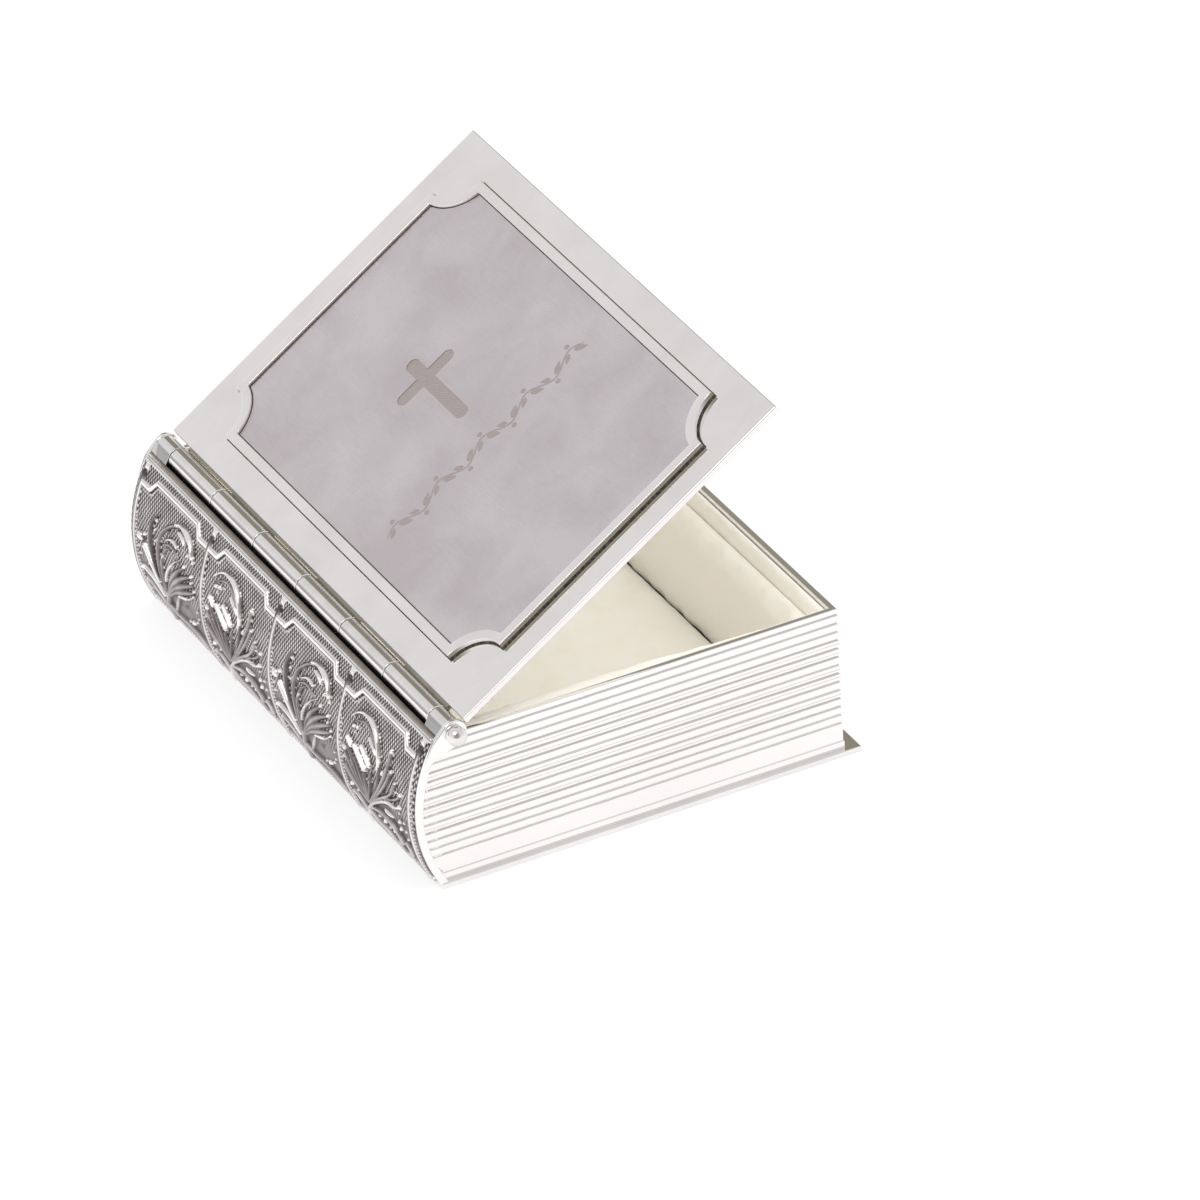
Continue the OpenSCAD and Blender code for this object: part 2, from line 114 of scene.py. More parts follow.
def hexColour(code):  # sRGB hex to linear
    channels = [int(code[i:i + 2], 16) / 255 for i in (1, 3, 5)]
    return tuple(c / 12.92 if c <= 0.04045 else ((c + 0.055) / 1.055) ** 2.4 for c in channels) + (1,)


def addNode(tree, kind, inputs=None, **settings):
    node = tree.nodes.new(kind)
    for key, value in settings.items():
        setattr(node, key, value)
    for key, value in (inputs or {}).items():
        if isinstance(value, bpy.types.NodeSocket):
            tree.links.new(value, node.inputs[key])
        else:
            node.inputs[key].default_value = value
    return node


def newMaterial(name):
    material = bpy.data.materials.new(name)
    material.use_nodes = True
    tree = material.node_tree
    tree.nodes.clear()
    place = addNode(tree, "ShaderNodeTexCoord").outputs["Object"]
    inMm = addNode(tree, "ShaderNodeVectorMath", {0: place, "Scale": 1 / mm}, operation="SCALE")
    return material, tree, inMm.outputs[0]


def closeMaterial(tree, shader):
    addNode(tree, "ShaderNodeOutputMaterial", {"Surface": shader.outputs[0]})


def noiseAt(tree, place, size, detail=3.0, stretch=(1, 1, 1), distortion=0.0):
    # size is the width of one blotch in mm
    moved = addNode(tree, "ShaderNodeMapping", {"Vector": place, "Scale": stretch})
    return addNode(tree, "ShaderNodeTexNoise", {
        "Vector": moved.outputs[0], "Scale": 1 / size, "Detail": detail,
        "Distortion": distortion}).outputs["Fac"]


def remap(tree, value, low, high, toLow, toHigh):
    return addNode(tree, "ShaderNodeMapRange", {
        "Value": value, "From Min": low, "From Max": high, "To Min": toLow, "To Max": toHigh}).outputs[0]


def mixHex(tree, factor, first, second):
    mixed = addNode(tree, "ShaderNodeMix", data_type="RGBA")
    tree.links.new(factor, mixed.inputs[0])
    mixed.inputs[6].default_value = hexColour(first)
    mixed.inputs[7].default_value = hexColour(second)
    return mixed.outputs[2]


# Silver plate, mop polished: bright mirror, faint hairlines and soft smears
silverPlate = {"bright": "#F7F4F3", "dull": "#EFEBEA", "roughness": (0.05, 0.13),
               "smear": 9, "hairline": 0.12, "hairlineDepth": 0.0012}


def polishedSilverPlate(name, tint=None, rougher=1.0):
    look = dict(silverPlate, **(tint or {}))
    material, tree, place = newMaterial(name)
    smears = noiseAt(tree, place, look["smear"], 4, distortion=0.6)
    hairlines = noiseAt(tree, place, look["hairline"], 2, (1, 0.04, 1))
    bump = addNode(tree, "ShaderNodeBump", {
        "Height": hairlines, "Strength": 0.35, "Distance": look["hairlineDepth"] * mm})
    low, high = look["roughness"]
    colour = mixHex(tree, remap(tree, smears, 0.3, 0.7, 0, 1), look["bright"], look["dull"])
    if "grooveShade" in look:  # painted shade that darkens the grooves
        grooveShade = addNode(tree, "ShaderNodeAttribute", attribute_name="grooveShade").outputs["Fac"]
        mixed = addNode(tree, "ShaderNodeMix", data_type="RGBA")
        tree.links.new(grooveShade, mixed.inputs[0])
        tree.links.new(colour, mixed.inputs[6])
        mixed.inputs[7].default_value = hexColour(look["grooveShade"])
        colour = mixed.outputs[2]
    shader = addNode(tree, "ShaderNodeBsdfPrincipled", {
        "Metallic": 1.0,
        "Base Color": colour,
        "Roughness": remap(tree, smears, 0.25, 0.75, low * rougher, high * rougher),
        "Normal": bump.outputs[0]})
    closeMaterial(tree, shader)
    return material


# Satin nickel, brushed by hand in short arcs: cloudy grey with a soft sheen
satinNickel = {"light": "#DBD4D7", "dark": "#CBC3C6", "roughness": (0.24, 0.38),
               "cloud": 15, "brush": 0.35, "brushDepth": 0.0018}


def satinNickelPlate(name):
    look = satinNickel
    material, tree, place = newMaterial(name)
    clouds = noiseAt(tree, place, look["cloud"], 4, distortion=0.4)
    brush = noiseAt(tree, place, look["brush"], 2, (1, 0.12, 1), distortion=1.5)
    both = addNode(tree, "ShaderNodeMath", {0: clouds, 1: remap(tree, brush, 0.3, 0.7, -0.06, 0.06)},
                   operation="ADD").outputs[0]
    bump = addNode(tree, "ShaderNodeBump", {
        "Height": brush, "Strength": 0.25, "Distance": look["brushDepth"] * mm})
    low, high = look["roughness"]
    shader = addNode(tree, "ShaderNodeBsdfPrincipled", {
        "Metallic": 1.0,
        "Base Color": mixHex(tree, remap(tree, both, 0.34, 0.68, 0, 1), look["light"], look["dark"]),
        "Roughness": remap(tree, both, 0.3, 0.7, low, high),
        "Normal": bump.outputs[0]})
    closeMaterial(tree, shader)
    return material


# Nickel etched matt: the laser leaves fine parallel lines and a warm grey
etchedNickel = {"light": "#CBC0BE", "dark": "#B3A8A5", "linePitch": 0.3, "lineDepth": 0.01}


def etchedNickelFace(name):
    look = etchedNickel
    material, tree, place = newMaterial(name)
    # The real lines are too fine to show, so they are drawn coarser
    lines = addNode(tree, "ShaderNodeTexWave", {
        "Vector": place, "Scale": 0.31 / look["linePitch"], "Distortion": 0.8, "Detail": 1.0},
        wave_type="BANDS", bands_direction="DIAGONAL").outputs["Fac"]
    grain = noiseAt(tree, place, 0.4, 3)
    both = addNode(tree, "ShaderNodeMath", {0: lines, 1: grain}, operation="MULTIPLY").outputs[0]
    bump = addNode(tree, "ShaderNodeBump", {
        "Height": lines, "Strength": 0.5, "Distance": look["lineDepth"] * mm})
    shader = addNode(tree, "ShaderNodeBsdfPrincipled", {
        "Metallic": 1.0,
        "Base Color": mixHex(tree, remap(tree, both, 0.1, 0.6, 0, 1), look["dark"], look["light"]),
        "Roughness": 0.5,
        "Normal": bump.outputs[0]})
    closeMaterial(tree, shader)
    return material


# Antique silver, pressed then oxidised and rubbed back: dark hollows, bright worn ridges, and painted
# highlights and painted shadows carried in the same attribute
antiqueSilver = {"hollow": "#484142", "flat": "#8D8586", "ridge": "#D4CECE", "wornAndHighlight": "#FAF7F6",
                 "roughness": (0.42, 0.16), "stain": 3.5}


def antiqueSilverRelief(name):
    look = antiqueSilver
    material, tree, place = newMaterial(name)
    # Per-point tone: oxide and wear, plus painted highlights and painted shadow
    wearAndPaintedLight = addNode(tree, "ShaderNodeAttribute", attribute_name="wearAndPaintedLight").outputs["Fac"]
    stains = noiseAt(tree, place, look["stain"], 5)
    level = addNode(tree, "ShaderNodeMath", {
        0: wearAndPaintedLight, 1: remap(tree, stains, 0.3, 0.7, -0.07, 0.07)}, operation="ADD").outputs[0]
    ramp = addNode(tree, "ShaderNodeValToRGB", {"Fac": level})
    stops = ramp.color_ramp.elements
    stops[0].position, stops[0].color = 0.12, hexColour(look["hollow"])
    stops[1].position, stops[1].color = 0.93, hexColour(look["wornAndHighlight"])
    for position, code in ((0.4, look["flat"]), (0.68, look["ridge"])):
        stops.new(position).color = hexColour(code)
    low, high = look["roughness"]
    shader = addNode(tree, "ShaderNodeBsdfPrincipled", {
        "Metallic": 1.0,
        "Base Color": ramp.outputs[0],
        "Roughness": remap(tree, level, 0.2, 0.9, low, high)})
    closeMaterial(tree, shader)
    return material


# Dark olive fill for narrow gaps and slits: painted shade, dull and a little lumpy
darkGapLook = {"dark": "#2E2A22", "light": "#6B6555", "lump": 0.5}


def darkGapFill(name):
    look = darkGapLook
    material, tree, place = newMaterial(name)
    lumps = noiseAt(tree, place, look["lump"], 4)
    bump = addNode(tree, "ShaderNodeBump", {"Height": lumps, "Strength": 0.7, "Distance": 0.08 * mm})
    shader = addNode(tree, "ShaderNodeBsdfPrincipled", {
        "Metallic": 0.7,
        "Base Color": mixHex(tree, remap(tree, lumps, 0.35, 0.7, 0, 1), look["dark"], look["light"]),
        "Roughness": 0.45,
        "Normal": bump.outputs[0]})
    closeMaterial(tree, shader)
    return material


# Cotton velveteen over wadding: matt, with a soft bright nap at the edges and crush marks
velveteen = {"light": "#FFFCF5", "shade": "#FBF6EA", "nap": 0.16, "crush": 5.5, "napDepth": 0.04}


def ivoryVelveteen(name):
    look = velveteen
    material, tree, place = newMaterial(name)
    nap = noiseAt(tree, place, look["nap"], 3)
    crush = noiseAt(tree, place, look["crush"], 4, distortion=0.8)
    both = addNode(tree, "ShaderNodeMath", {0: crush, 1: remap(tree, nap, 0.3, 0.7, -0.12, 0.12)},
                   operation="ADD").outputs[0]
    bump = addNode(tree, "ShaderNodeBump", {
        "Height": nap, "Strength": 0.6, "Distance": look["napDepth"] * mm})
    shader = addNode(tree, "ShaderNodeBsdfPrincipled", {
        "Base Color": mixHex(tree, remap(tree, both, 0.3, 0.72, 0, 1), look["light"], look["shade"]),
        "Roughness": 0.92,
        "Sheen Weight": 0.45,
        "Sheen Roughness": 0.4,
        "Normal": bump.outputs[0]})
    closeMaterial(tree, shader)
    return material


# Grey-brown millboard: dull, fibrous
millboard = {"light": "#A4937C", "dark": "#86765F", "fibre": 0.5}


def millboardSheet(name):
    look = millboard
    material, tree, place = newMaterial(name)
    fibres = noiseAt(tree, place, look["fibre"], 5, (1, 0.3, 1), distortion=1)
    bump = addNode(tree, "ShaderNodeBump", {"Height": fibres, "Strength": 0.5, "Distance": 0.06 * mm})
    shader = addNode(tree, "ShaderNodeBsdfPrincipled", {
        "Base Color": mixHex(tree, remap(tree, fibres, 0.3, 0.7, 0, 1), look["dark"], look["light"]),
        "Roughness": 0.9,
        "Normal": bump.outputs[0]})
    closeMaterial(tree, shader)
    return material


coverSilver = polishedSilverPlate("polishedSilverCover")
# Page silver darkens to a pinkish grey in its cut grooves: painted shade
pageSilver = polishedSilverPlate("polishedSilverPages", {
    "bright": "#FCFAF9", "dull": "#F8F5F4", "roughness": (0.1, 0.14), "smear": 25, "grooveShade": "#DDD4D0"})
hingeSilver = polishedSilverPlate("polishedSilverHinge", {"bright": "#F4F1F0", "dull": "#E9E5E4", "smear": 4})
# Dark olive leaf metal: its colour is painted shade for the slot between the barrel and the cover's edge
slotShadeLeaf = polishedSilverPlate("slotShadeLeafMetal", {
    "bright": "#A39F8E", "dull": "#8E8A7A", "roughness": (0.2, 0.26)})
shadeFill = darkGapFill("darkGapFill")
plainSteel = polishedSilverPlate("plainPlatedSteel", {"bright": "#C9C6C3", "dull": "#B4B0AD"}, 3)
plaqueNickel = satinNickelPlate("satinNickelPlaque")
etchNickel = etchedNickelFace("etchedNickel")
spineSilver = antiqueSilverRelief("antiqueSilverSpine")
lining = ivoryVelveteen("ivoryVelveteenLining")
card = millboardSheet("greyMillboard")
print("materials made")


def dress(node, material):  # gives a CAD node its finish
    piece = frame["nodes"][node]
    piece.data.materials.clear()
    piece.data.materials.append(material)
    return piece


def newPiece(name, verts, faces, material, body, stands=(), place=None, sharp=35, even=True):
    mesh = bpy.data.meshes.new(name)
    points = np.asarray(verts, float)
    if place is not None:
        turn = np.array(place.to_3x3())
        points = points @ turn.T + np.array(place.translation)
    mesh.from_pydata((points * mm).tolist(), [], faces)
    mesh.validate()
    return addPiece(name, mesh, material, body, stands, sharp, even)


def addPiece(name, mesh, material, body, stands=(), sharp=35, even=True):
    fixer = bmesh.new()
    fixer.from_mesh(mesh)
    bmesh.ops.recalc_face_normals(fixer, faces=fixer.faces)
    fixer.to_mesh(mesh)
    fixer.free()
    mesh.shade_smooth()
    mesh.set_sharp_from_angle(angle=math.radians(sharp))
    mesh.materials.clear()
    mesh.materials.append(material)
    piece = bpy.data.objects.new(name, mesh)
    bpy.context.scene.collection.objects.link(piece)
    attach(piece, body)
    if stands:
        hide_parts(*stands)
    if even:  # keeps large faces flat beside their rounded edges
        normals = piece.modifiers.new("evenNormals", "WEIGHTED_NORMAL")
        normals.keep_sharp = True
        normals.weight = 60
    return piece


def loft(rings, closedRings=True, caps=True):
    # rings are lists of points of one length, joined in order
    count = len(rings[0])
    verts = [p for ring in rings for p in ring]
    faces = []
    steps = count if closedRings else count - 1
    for k in range(len(rings) - 1):
        for j in range(steps):
            a, b = k * count + j, k * count + (j + 1) % count
            faces.append((a, b, b + count, a + count))
    if caps:
        faces.append(tuple(range(count))[::-1])
        faces.append(tuple(range((len(rings) - 1) * count, len(rings) * count)))
    return verts, faces


def bevelledPlate(low, high, width, rounds=3):
    # A plate with small rounded edges, as verts and faces in mm
    maker = bmesh.new()
    bmesh.ops.create_cube(maker, size=1)
    middle = [(a + b) / 2 for a, b in zip(low, high)]
    size = [b - a for a, b in zip(low, high)]
    for vert in maker.verts:
        vert.co = Vector([m + c * s for m, c, s in zip(middle, vert.co, size)])
    bmesh.ops.bevel(maker, geom=list(maker.edges), offset=width, segments=rounds,
                    profile=0.5, affect="EDGES")
    maker.verts.index_update()
    verts = [tuple(v.co) for v in maker.verts]
    faces = [tuple(v.index for v in f.verts) for f in maker.faces]
    maker.free()
    return verts, faces


def flatShape(name, outlines, depth, bevel, rounds=3):
    # Outlines in mm in the XY plane become a plate of that depth with rounded edges, its back at z = 0
    data = bpy.data.curves.new(name, "CURVE")
    data.dimensions = "2D"
    data.fill_mode = "BOTH"
    data.extrude = depth / 2 - bevel
    data.bevel_depth = bevel
    data.bevel_resolution = rounds
    data.offset = -bevel
    for outline in outlines:
        spline = data.splines.new("POLY")
        spline.points.add(len(outline) - 1)
        for point, (x, y) in zip(spline.points, outline):
            point.co = (x, y, 0, 1)
        spline.use_cyclic_u = True
    holder = bpy.data.objects.new(name + "Curve", data)
    bpy.context.scene.collection.objects.link(holder)
    bpy.context.view_layer.update()
    mesh = bpy.data.meshes.new_from_object(holder.evaluated_get(bpy.context.evaluated_depsgraph_get()))
    bpy.data.objects.remove(holder)
    bpy.data.curves.remove(data)
    mesh.transform(Matrix.Translation((0, 0, depth / 2)))
    return mesh


def shapePiece(name, mesh, place, material, body, stands=(), sharp=35):
    # mesh in mm, set in place by a matrix in mm
    mesh.transform(Matrix.Scale(mm, 4) @ place)
    fixer = bmesh.new()
    fixer.from_mesh(mesh)
    bmesh.ops.remove_doubles(fixer, verts=fixer.verts, dist=0.002 * mm)
    fixer.to_mesh(mesh)
    fixer.free()
    return addPiece(name, mesh, material, body, stands, sharp)


def latheY(profile, steps, closed=True):
    # Turns a profile of (radius, y) round the Y axis
    rings = []
    for radius, y in profile:
        rings.append([(radius * math.cos(a), y, radius * math.sin(a))
                      for a in (2 * math.pi * k / steps for k in range(steps))])
    if closed:
        rings.append(rings[0])
        verts, faces = loft(rings, caps=False)
        total = (len(rings) - 1) * steps
        return verts[:total], [tuple(i % total for i in f) for f in faces]
    return loft(rings)


# Base plate with slightly rounded edges
basePlate = {"edge": 0.18}
verts, faces = bevelledPlate(baseLow, baseHigh, basePlate["edge"])
newPiece("basePlate", verts, faces, coverSilver, "box", ["base_plate"])

# Spine arc: its centre line, radius and the angles of its foot and top edge
spineArc = {"radius": 26, "midHeight": 14.2, "metal": 0.8, "endRim": 1.3, "rimDepth": 1}
arcCentre = (spineArc["radius"] + boxMm("front_spine_rim")[0].x, spineArc["midHeight"])


def arcPoint(radius, z):  # x of the arc at height z
    return arcCentre[0] - math.sqrt(radius ** 2 - (z - arcCentre[1]) ** 2)


def arcAngle(z, radius=spineArc["radius"]):
    return math.asin((z - arcCentre[1]) / radius)


# Page walls: rounded page edges between cut grooves
pages = {
    "pitch": 1.6,
    "firstGroove": 1.1,
    "grooves": 14,
    "grooveDepth": 0.26,
    "grooveHalf": 0.2,
    "crown": 0.05,
    "wall": 1.2,
    "lipOut": 0.15,
    "plinth": 1.5,
    "fineLines": 5,
    "seed": 4,
}


def pageRows():
    # (z, outward step, painted groove shade) from the foot to the rim
    pick = random.Random(pages["seed"])
    low, top = baseHigh.z, rimTop
    rows = [(low, pages["lipOut"] - 0.05, 0), (low + 0.05, pages["lipOut"], 0),
            (low + pages["plinth"] - 0.08, pages["lipOut"], 0), (low + pages["plinth"] + 0.02, 0.08, 0.5),
            (low + pages["plinth"] + 0.15, 0, 0)]
    levels = [top - pages["firstGroove"] - k * pages["pitch"] for k in range(pages["grooves"])][::-1]
    fine = set(pick.sample(range(2, len(levels)), pages["fineLines"]))
    for k, z in enumerate(levels):
        half = pages["grooveHalf"]
        # How dark the painted shade in this groove is
        grooveShadeDepth = 0.5 + 0.5 * pick.random()
        rows += [(z - half - 0.1, 0.02, 0), (z - half, -0.03, 0.8 * grooveShadeDepth),
                 (z - 0.03, -pages["grooveDepth"], grooveShadeDepth), (z + 0.03, -pages["grooveDepth"], grooveShadeDepth),
                 (z + half, -0.03, 0.8 * grooveShadeDepth), (z + half + 0.1, 0.02, 0)]
        after = levels[k + 1] if k + 1 < len(levels) else top
        span = after - z
        if span > 1.3:
            rows += [(z + span * 0.36, pages["crown"], 0)]
            if k in fine:  # a shallow second line on this page
                at = z + span * pick.choice((0.45, 0.55, 0.62))
                rows += [(at - 0.07, pages["crown"], 0), (at, pages["crown"] - 0.09, 0.7),
                         (at + 0.07, pages["crown"], 0)]
            rows += [(z + span * 0.7, pages["crown"], 0)]
    wall = pages["wall"]
    rows += [(top - 0.3, 0, 0), (top - 0.1, -0.04, 0), (top - 0.02, -0.15, 0), (top, -0.35, 0),
             (top, 0.35 - wall, 0), (top - 0.1, 0.05 - wall, 0), (top - 0.3, -wall, 0), (low, -wall, 0)]
    return rows


def pageWall(name, node, columns, start, end, put):
    # start and end give where a row begins and ends; put turns (along, step, z) into a point
    rows = pageRows()
    pick = random.Random(pages["seed"] + 1)
    waver = [[pick.uniform(-0.012, 0.012) for _ in rows] for _ in range(columns + 1)]
    rings = []
    for c in range(columns + 1):
        share = c / columns
        ring = []
        for r, (z, step, _) in enumerate(rows):
            first, last = start(z, step), end(z, step)
            inner = 0 < c < columns and 5 <= r < len(rows) - 8
            shift = waver[c][r] if inner else 0
            ring.append(put(first + (last - first) * share, step + shift * 0.6, z + shift))
        rings.append(ring)
    verts, faces = loft(rings)
    piece = newPiece(name, verts, faces, pageSilver, "box", [node], sharp=28)
    # Painted shade per row, strongest in the groove floors
    grooveShade = piece.data.attributes.new("grooveShade", "FLOAT", "POINT")
    grooveShade.data.foreach_set("value", [row[2] for row in rows] * (columns + 1))


faceX = foreOut - pages["lipOut"]
faceY = halfDepth - spineArc["rimDepth"]


def spineEnd(z, step):
    return arcPoint(spineArc["radius"] - spineArc["metal"], z)


pageWall("pageWallFront", "front_page_wall", 60, spineEnd, lambda z, step: faceX + step,
         lambda along, step, z: (along, -faceY - step, z))
pageWall("pageWallRear", "rear_page_wall", 60, spineEnd, lambda z, step: faceX + step,
         lambda along, step, z: (along, faceY + step, z))
pageWall("pageWallForeEdge", "fore_edge_page_wall", 80, lambda z, step: -faceY - step,
         lambda z, step: faceY + step, lambda along, step, z: (faceX + step, along, z))
dress("spine_side_wall", plainSteel)
print("page walls made")


# Spine relief. Places on it are (u, v): u to the right seen from outside, v up the arc from the foot
relief = {
    "cell": 0.12,
    "ground": 0.14,
    "dotAlong": 0.76,
    "dotUp": 1.26,
    "dotsFrom": (10.0, 13.5),
    "bandHalf": 0.5,
    "bandHeight": 0.6,
    "barHalf": 0.4,
    "barHeight": 0.5,
    "barLevel": 26.35,
    "barDrop": 1.95,
    "barShoulder": (9.05, 7.5),
    "barSlopes": (0.28, 0.12),
    "barLine": (0.32, 0.62),
    "headFrom": (23.6, 26.2),
    "bandEnd": 26.7,
    "stud": 0.62,
    "studDrop": 1.35,
    "beadRadius": 0.3,
    "beadPitch": 0.72,
    "beadsFrom": (1.9, 19.5),
    "beadOut": 0.86,
    "footBeadAt": 1.15,
    "footBeadHalf": 0.34,
    "footBeadPitch": 0.9,
    "innerWear": 0.3,
    "panels": 4,
    "endIn": 2.5,
}
panelWidth = (2 * halfDepth - 2 * relief["endIn"]) / relief["panels"]

# Each stroke: height, brightness (rubbed polish with painted highlight), half widths at its start, middle and
# end, then the points it runs through
palmetteStrokes = [
    (0.95, 0.95, (0.15, 0.62, 0.25), [(-8.3, 21.4), (-6.6, 22.8), (-4.6, 23.5), (-2.2, 23.3), (0.0, 22.1),
                                      (1.4, 20.4), (2.1, 18.4), (2.0, 16.8)]),
    (0.7, 0.25, (0.45, 0.4, 0.25), [(2.0, 18.2), (2.1, 16.0), (1.3, 13.4), (-0.2, 11.0), (-2.4, 8.6)]),
    (0.6, 0.4, (0.12, 0.36, 0.3), [(-7.8, 20.4), (-6.0, 21.6), (-3.8, 22.2), (-1.6, 21.6), (0.0, 20.4),
                                   (0.9, 19.0)]),
    (0.9, 0.98, (0.42, 0.42, 0.35), [(-8.7, 17.5), (-7.3, 16.4)]),
    (0.98, 1.0, (0.45, 0.48, 0.4), [(-6.2, 17.2), (-4.4, 15.9), (-2.5, 14.5)]),
    (0.98, 1.0, (0.4, 0.45, 0.4), [(-3.9, 18.2), (-2.4, 17.2), (-0.8, 16.0)]),
    (0.9, 0.95, (0.35, 0.42, 0.3), [(-1.7, 20.7), (-0.4, 20.0), (1.1, 19.1)]),
    (0.75, 0.25, (0.3, 0.5, 0.3), [(-8.8, 15.9), (-6.8, 13.8), (-4.8, 11.4), (-2.9, 9.2)]),
    (0.7, 0.3, (0.3, 0.45, 0.3), [(-6.2, 14.9), (-4.9, 13.2), (-3.8, 11.2), (-2.8, 9.2)]),
    (0.7, 0.3, (0.3, 0.45, 0.3), [(-3.2, 13.6), (-2.9, 12.0), (-2.7, 10.4), (-2.6, 8.8)]),
    (0.65, 0.3, (0.3, 0.4, 0.3), [(-0.6, 14.6), (-1.2, 12.6), (-2.0, 10.6), (-2.6, 8.8)]),
    (0.8, 0.45, (0.4, 0.45, 0.25), [(5.2, 21.4), (5.1, 19.6), (4.5, 17.4), (2.9, 14.6), (0.7, 11.6),
                                    (-2.4, 8.6)]),
    (0.75, 0.45, (0.35, 0.42, 0.25), [(6.0, 18.3), (5.2, 16.7), (4.0, 14.8), (1.8, 12.2), (-1.8, 8.9)]),
    (0.8, 0.5, (0.35, 0.42, 0.25), [(7.6, 16.9), (6.9, 15.3), (5.4, 13.8), (3.2, 12.3), (0.6, 10.5),
                                    (-2.2, 8.4)]),
    (0.65, 0.4, (0.35, 0.38, 0.2), [(9.5, 16.0), (8.5, 14.9), (6.7, 13.8), (4.2, 12.6)]),
    (0.95, 0.85, (0.35, 0.36, 0.5), [(9.2, 13.7), (8.0, 13.1), (6.0, 12.8), (3.9, 11.9), (1.2, 10.3),
                                     (-1.5, 8.4), (-3.7, 6.4), (-5.2, 4.4), (-5.6, 2.2)]),
    (0.85, 0.6, (0.3, 0.42, 0.35), [(-2.2, 7.2), (0.0, 8.0), (2.4, 8.6), (4.6, 8.5), (6.4, 7.6), (7.4, 6.2),
                                    (7.0, 5.0), (5.8, 4.8)]),
    (0.6, 0.35, (0.3, 0.4, 0.25), [(-10.0, 14.4), (-8.2, 12.4), (-6.0, 10.6), (-3.2, 8.9)]),
    (0.7, 0.5, (0.35, 0.42, 0.3), [(-10.5, 11.2), (-8.2, 10.0), (-5.8, 9.0), (-3.2, 7.8)]),
    (0.75, 0.65, (0.35, 0.42, 0.4), [(-10.8, 5.2), (-9.4, 6.4), (-7.6, 6.6), (-6.0, 5.6), (-5.0, 4.0)]),
    (0.8, 0.7, (0.4, 0.45, 0.3), [(-4.2, 5.8), (-1.6, 4.9), (1.4, 4.7), (4.2, 3.6), (7.0, 2.9), (9.4, 3.8),
                                  (10.3, 5.4), (9.6, 6.6), (8.6, 6.2)]),
    (0.6, 0.5, (0.35, 0.4, 0.3), [(-4.9, 3.4), (-2.4, 2.7), (0.6, 2.8), (3.4, 2.2)]),
    (0.6, 0.5, (0.35, 0.4, 0.3), [(-5.6, 3.0), (-7.6, 3.2), (-9.4, 2.8), (-10.9, 2.2)]),
]
# Pearls and petals: place, half length, half width, turn in degrees, brightness (rubbed polish with painted
# highlight)
palmettePearls = [
    (-7.4, 20.0, 0.55, 0.4, 20, 0.95), (-6.3, 20.3, 0.5, 0.35, -30, 0.95), (-6.8, 19.2, 0.4, 0.3, 60, 0.8),
    (-5.2, 20.7, 0.5, 0.3, 30, 0.6), (-10.0, 14.8, 0.6, 0.5, 0, 0.95), (-9.3, 8.0, 1.15, 0.48, 35, 0.95),
    (5.2, 21.8, 0.65, 0.5, 60, 1.0), (6.0, 18.5, 0.6, 0.42, 60, 0.95), (3.1, 16.8, 0.75, 0.35, 75, 0.95),
    (7.5, 17.2, 0.55, 0.35, 40, 0.9), (8.0, 15.9, 0.5, 0.32, 30, 0.8), (9.6, 16.2, 0.65, 0.42, 30, 1.0),
    (9.3, 13.8, 0.75, 0.45, 10, 1.0), (8.9, 12.4, 0.4, 0.3, 30, 0.8), (4.7, 10.0, 2.0, 0.45, 4, 0.95),
    (8.8, 10.7, 0.6, 0.45, 40, 0.95), (8.7, 9.2, 0.75, 0.45, 50, 0.95), (1.7, 6.6, 0.85, 0.5, 45, 0.95),
    (5.0, 6.5, 0.65, 0.45, 45, 0.95), (10.4, 11.3, 0.4, 0.35, 0, 0.85), (10.6, 9.7, 0.38, 0.35, 0, 0.85),
    (10.6, 8.1, 0.38, 0.35, 0, 0.85), (-1.8, 12.4, 0.6, 0.3, 75, 0.85), (-7.4, 7.7, 0.4, 0.32, 0, 0.8),
    (-10.6, 12.8, 0.4, 0.32, 0, 0.8), (3.0, 6.0, 0.4, 0.35, 0, 0.8), (-0.6, 6.3, 0.5, 0.35, 0, 0.8),
]
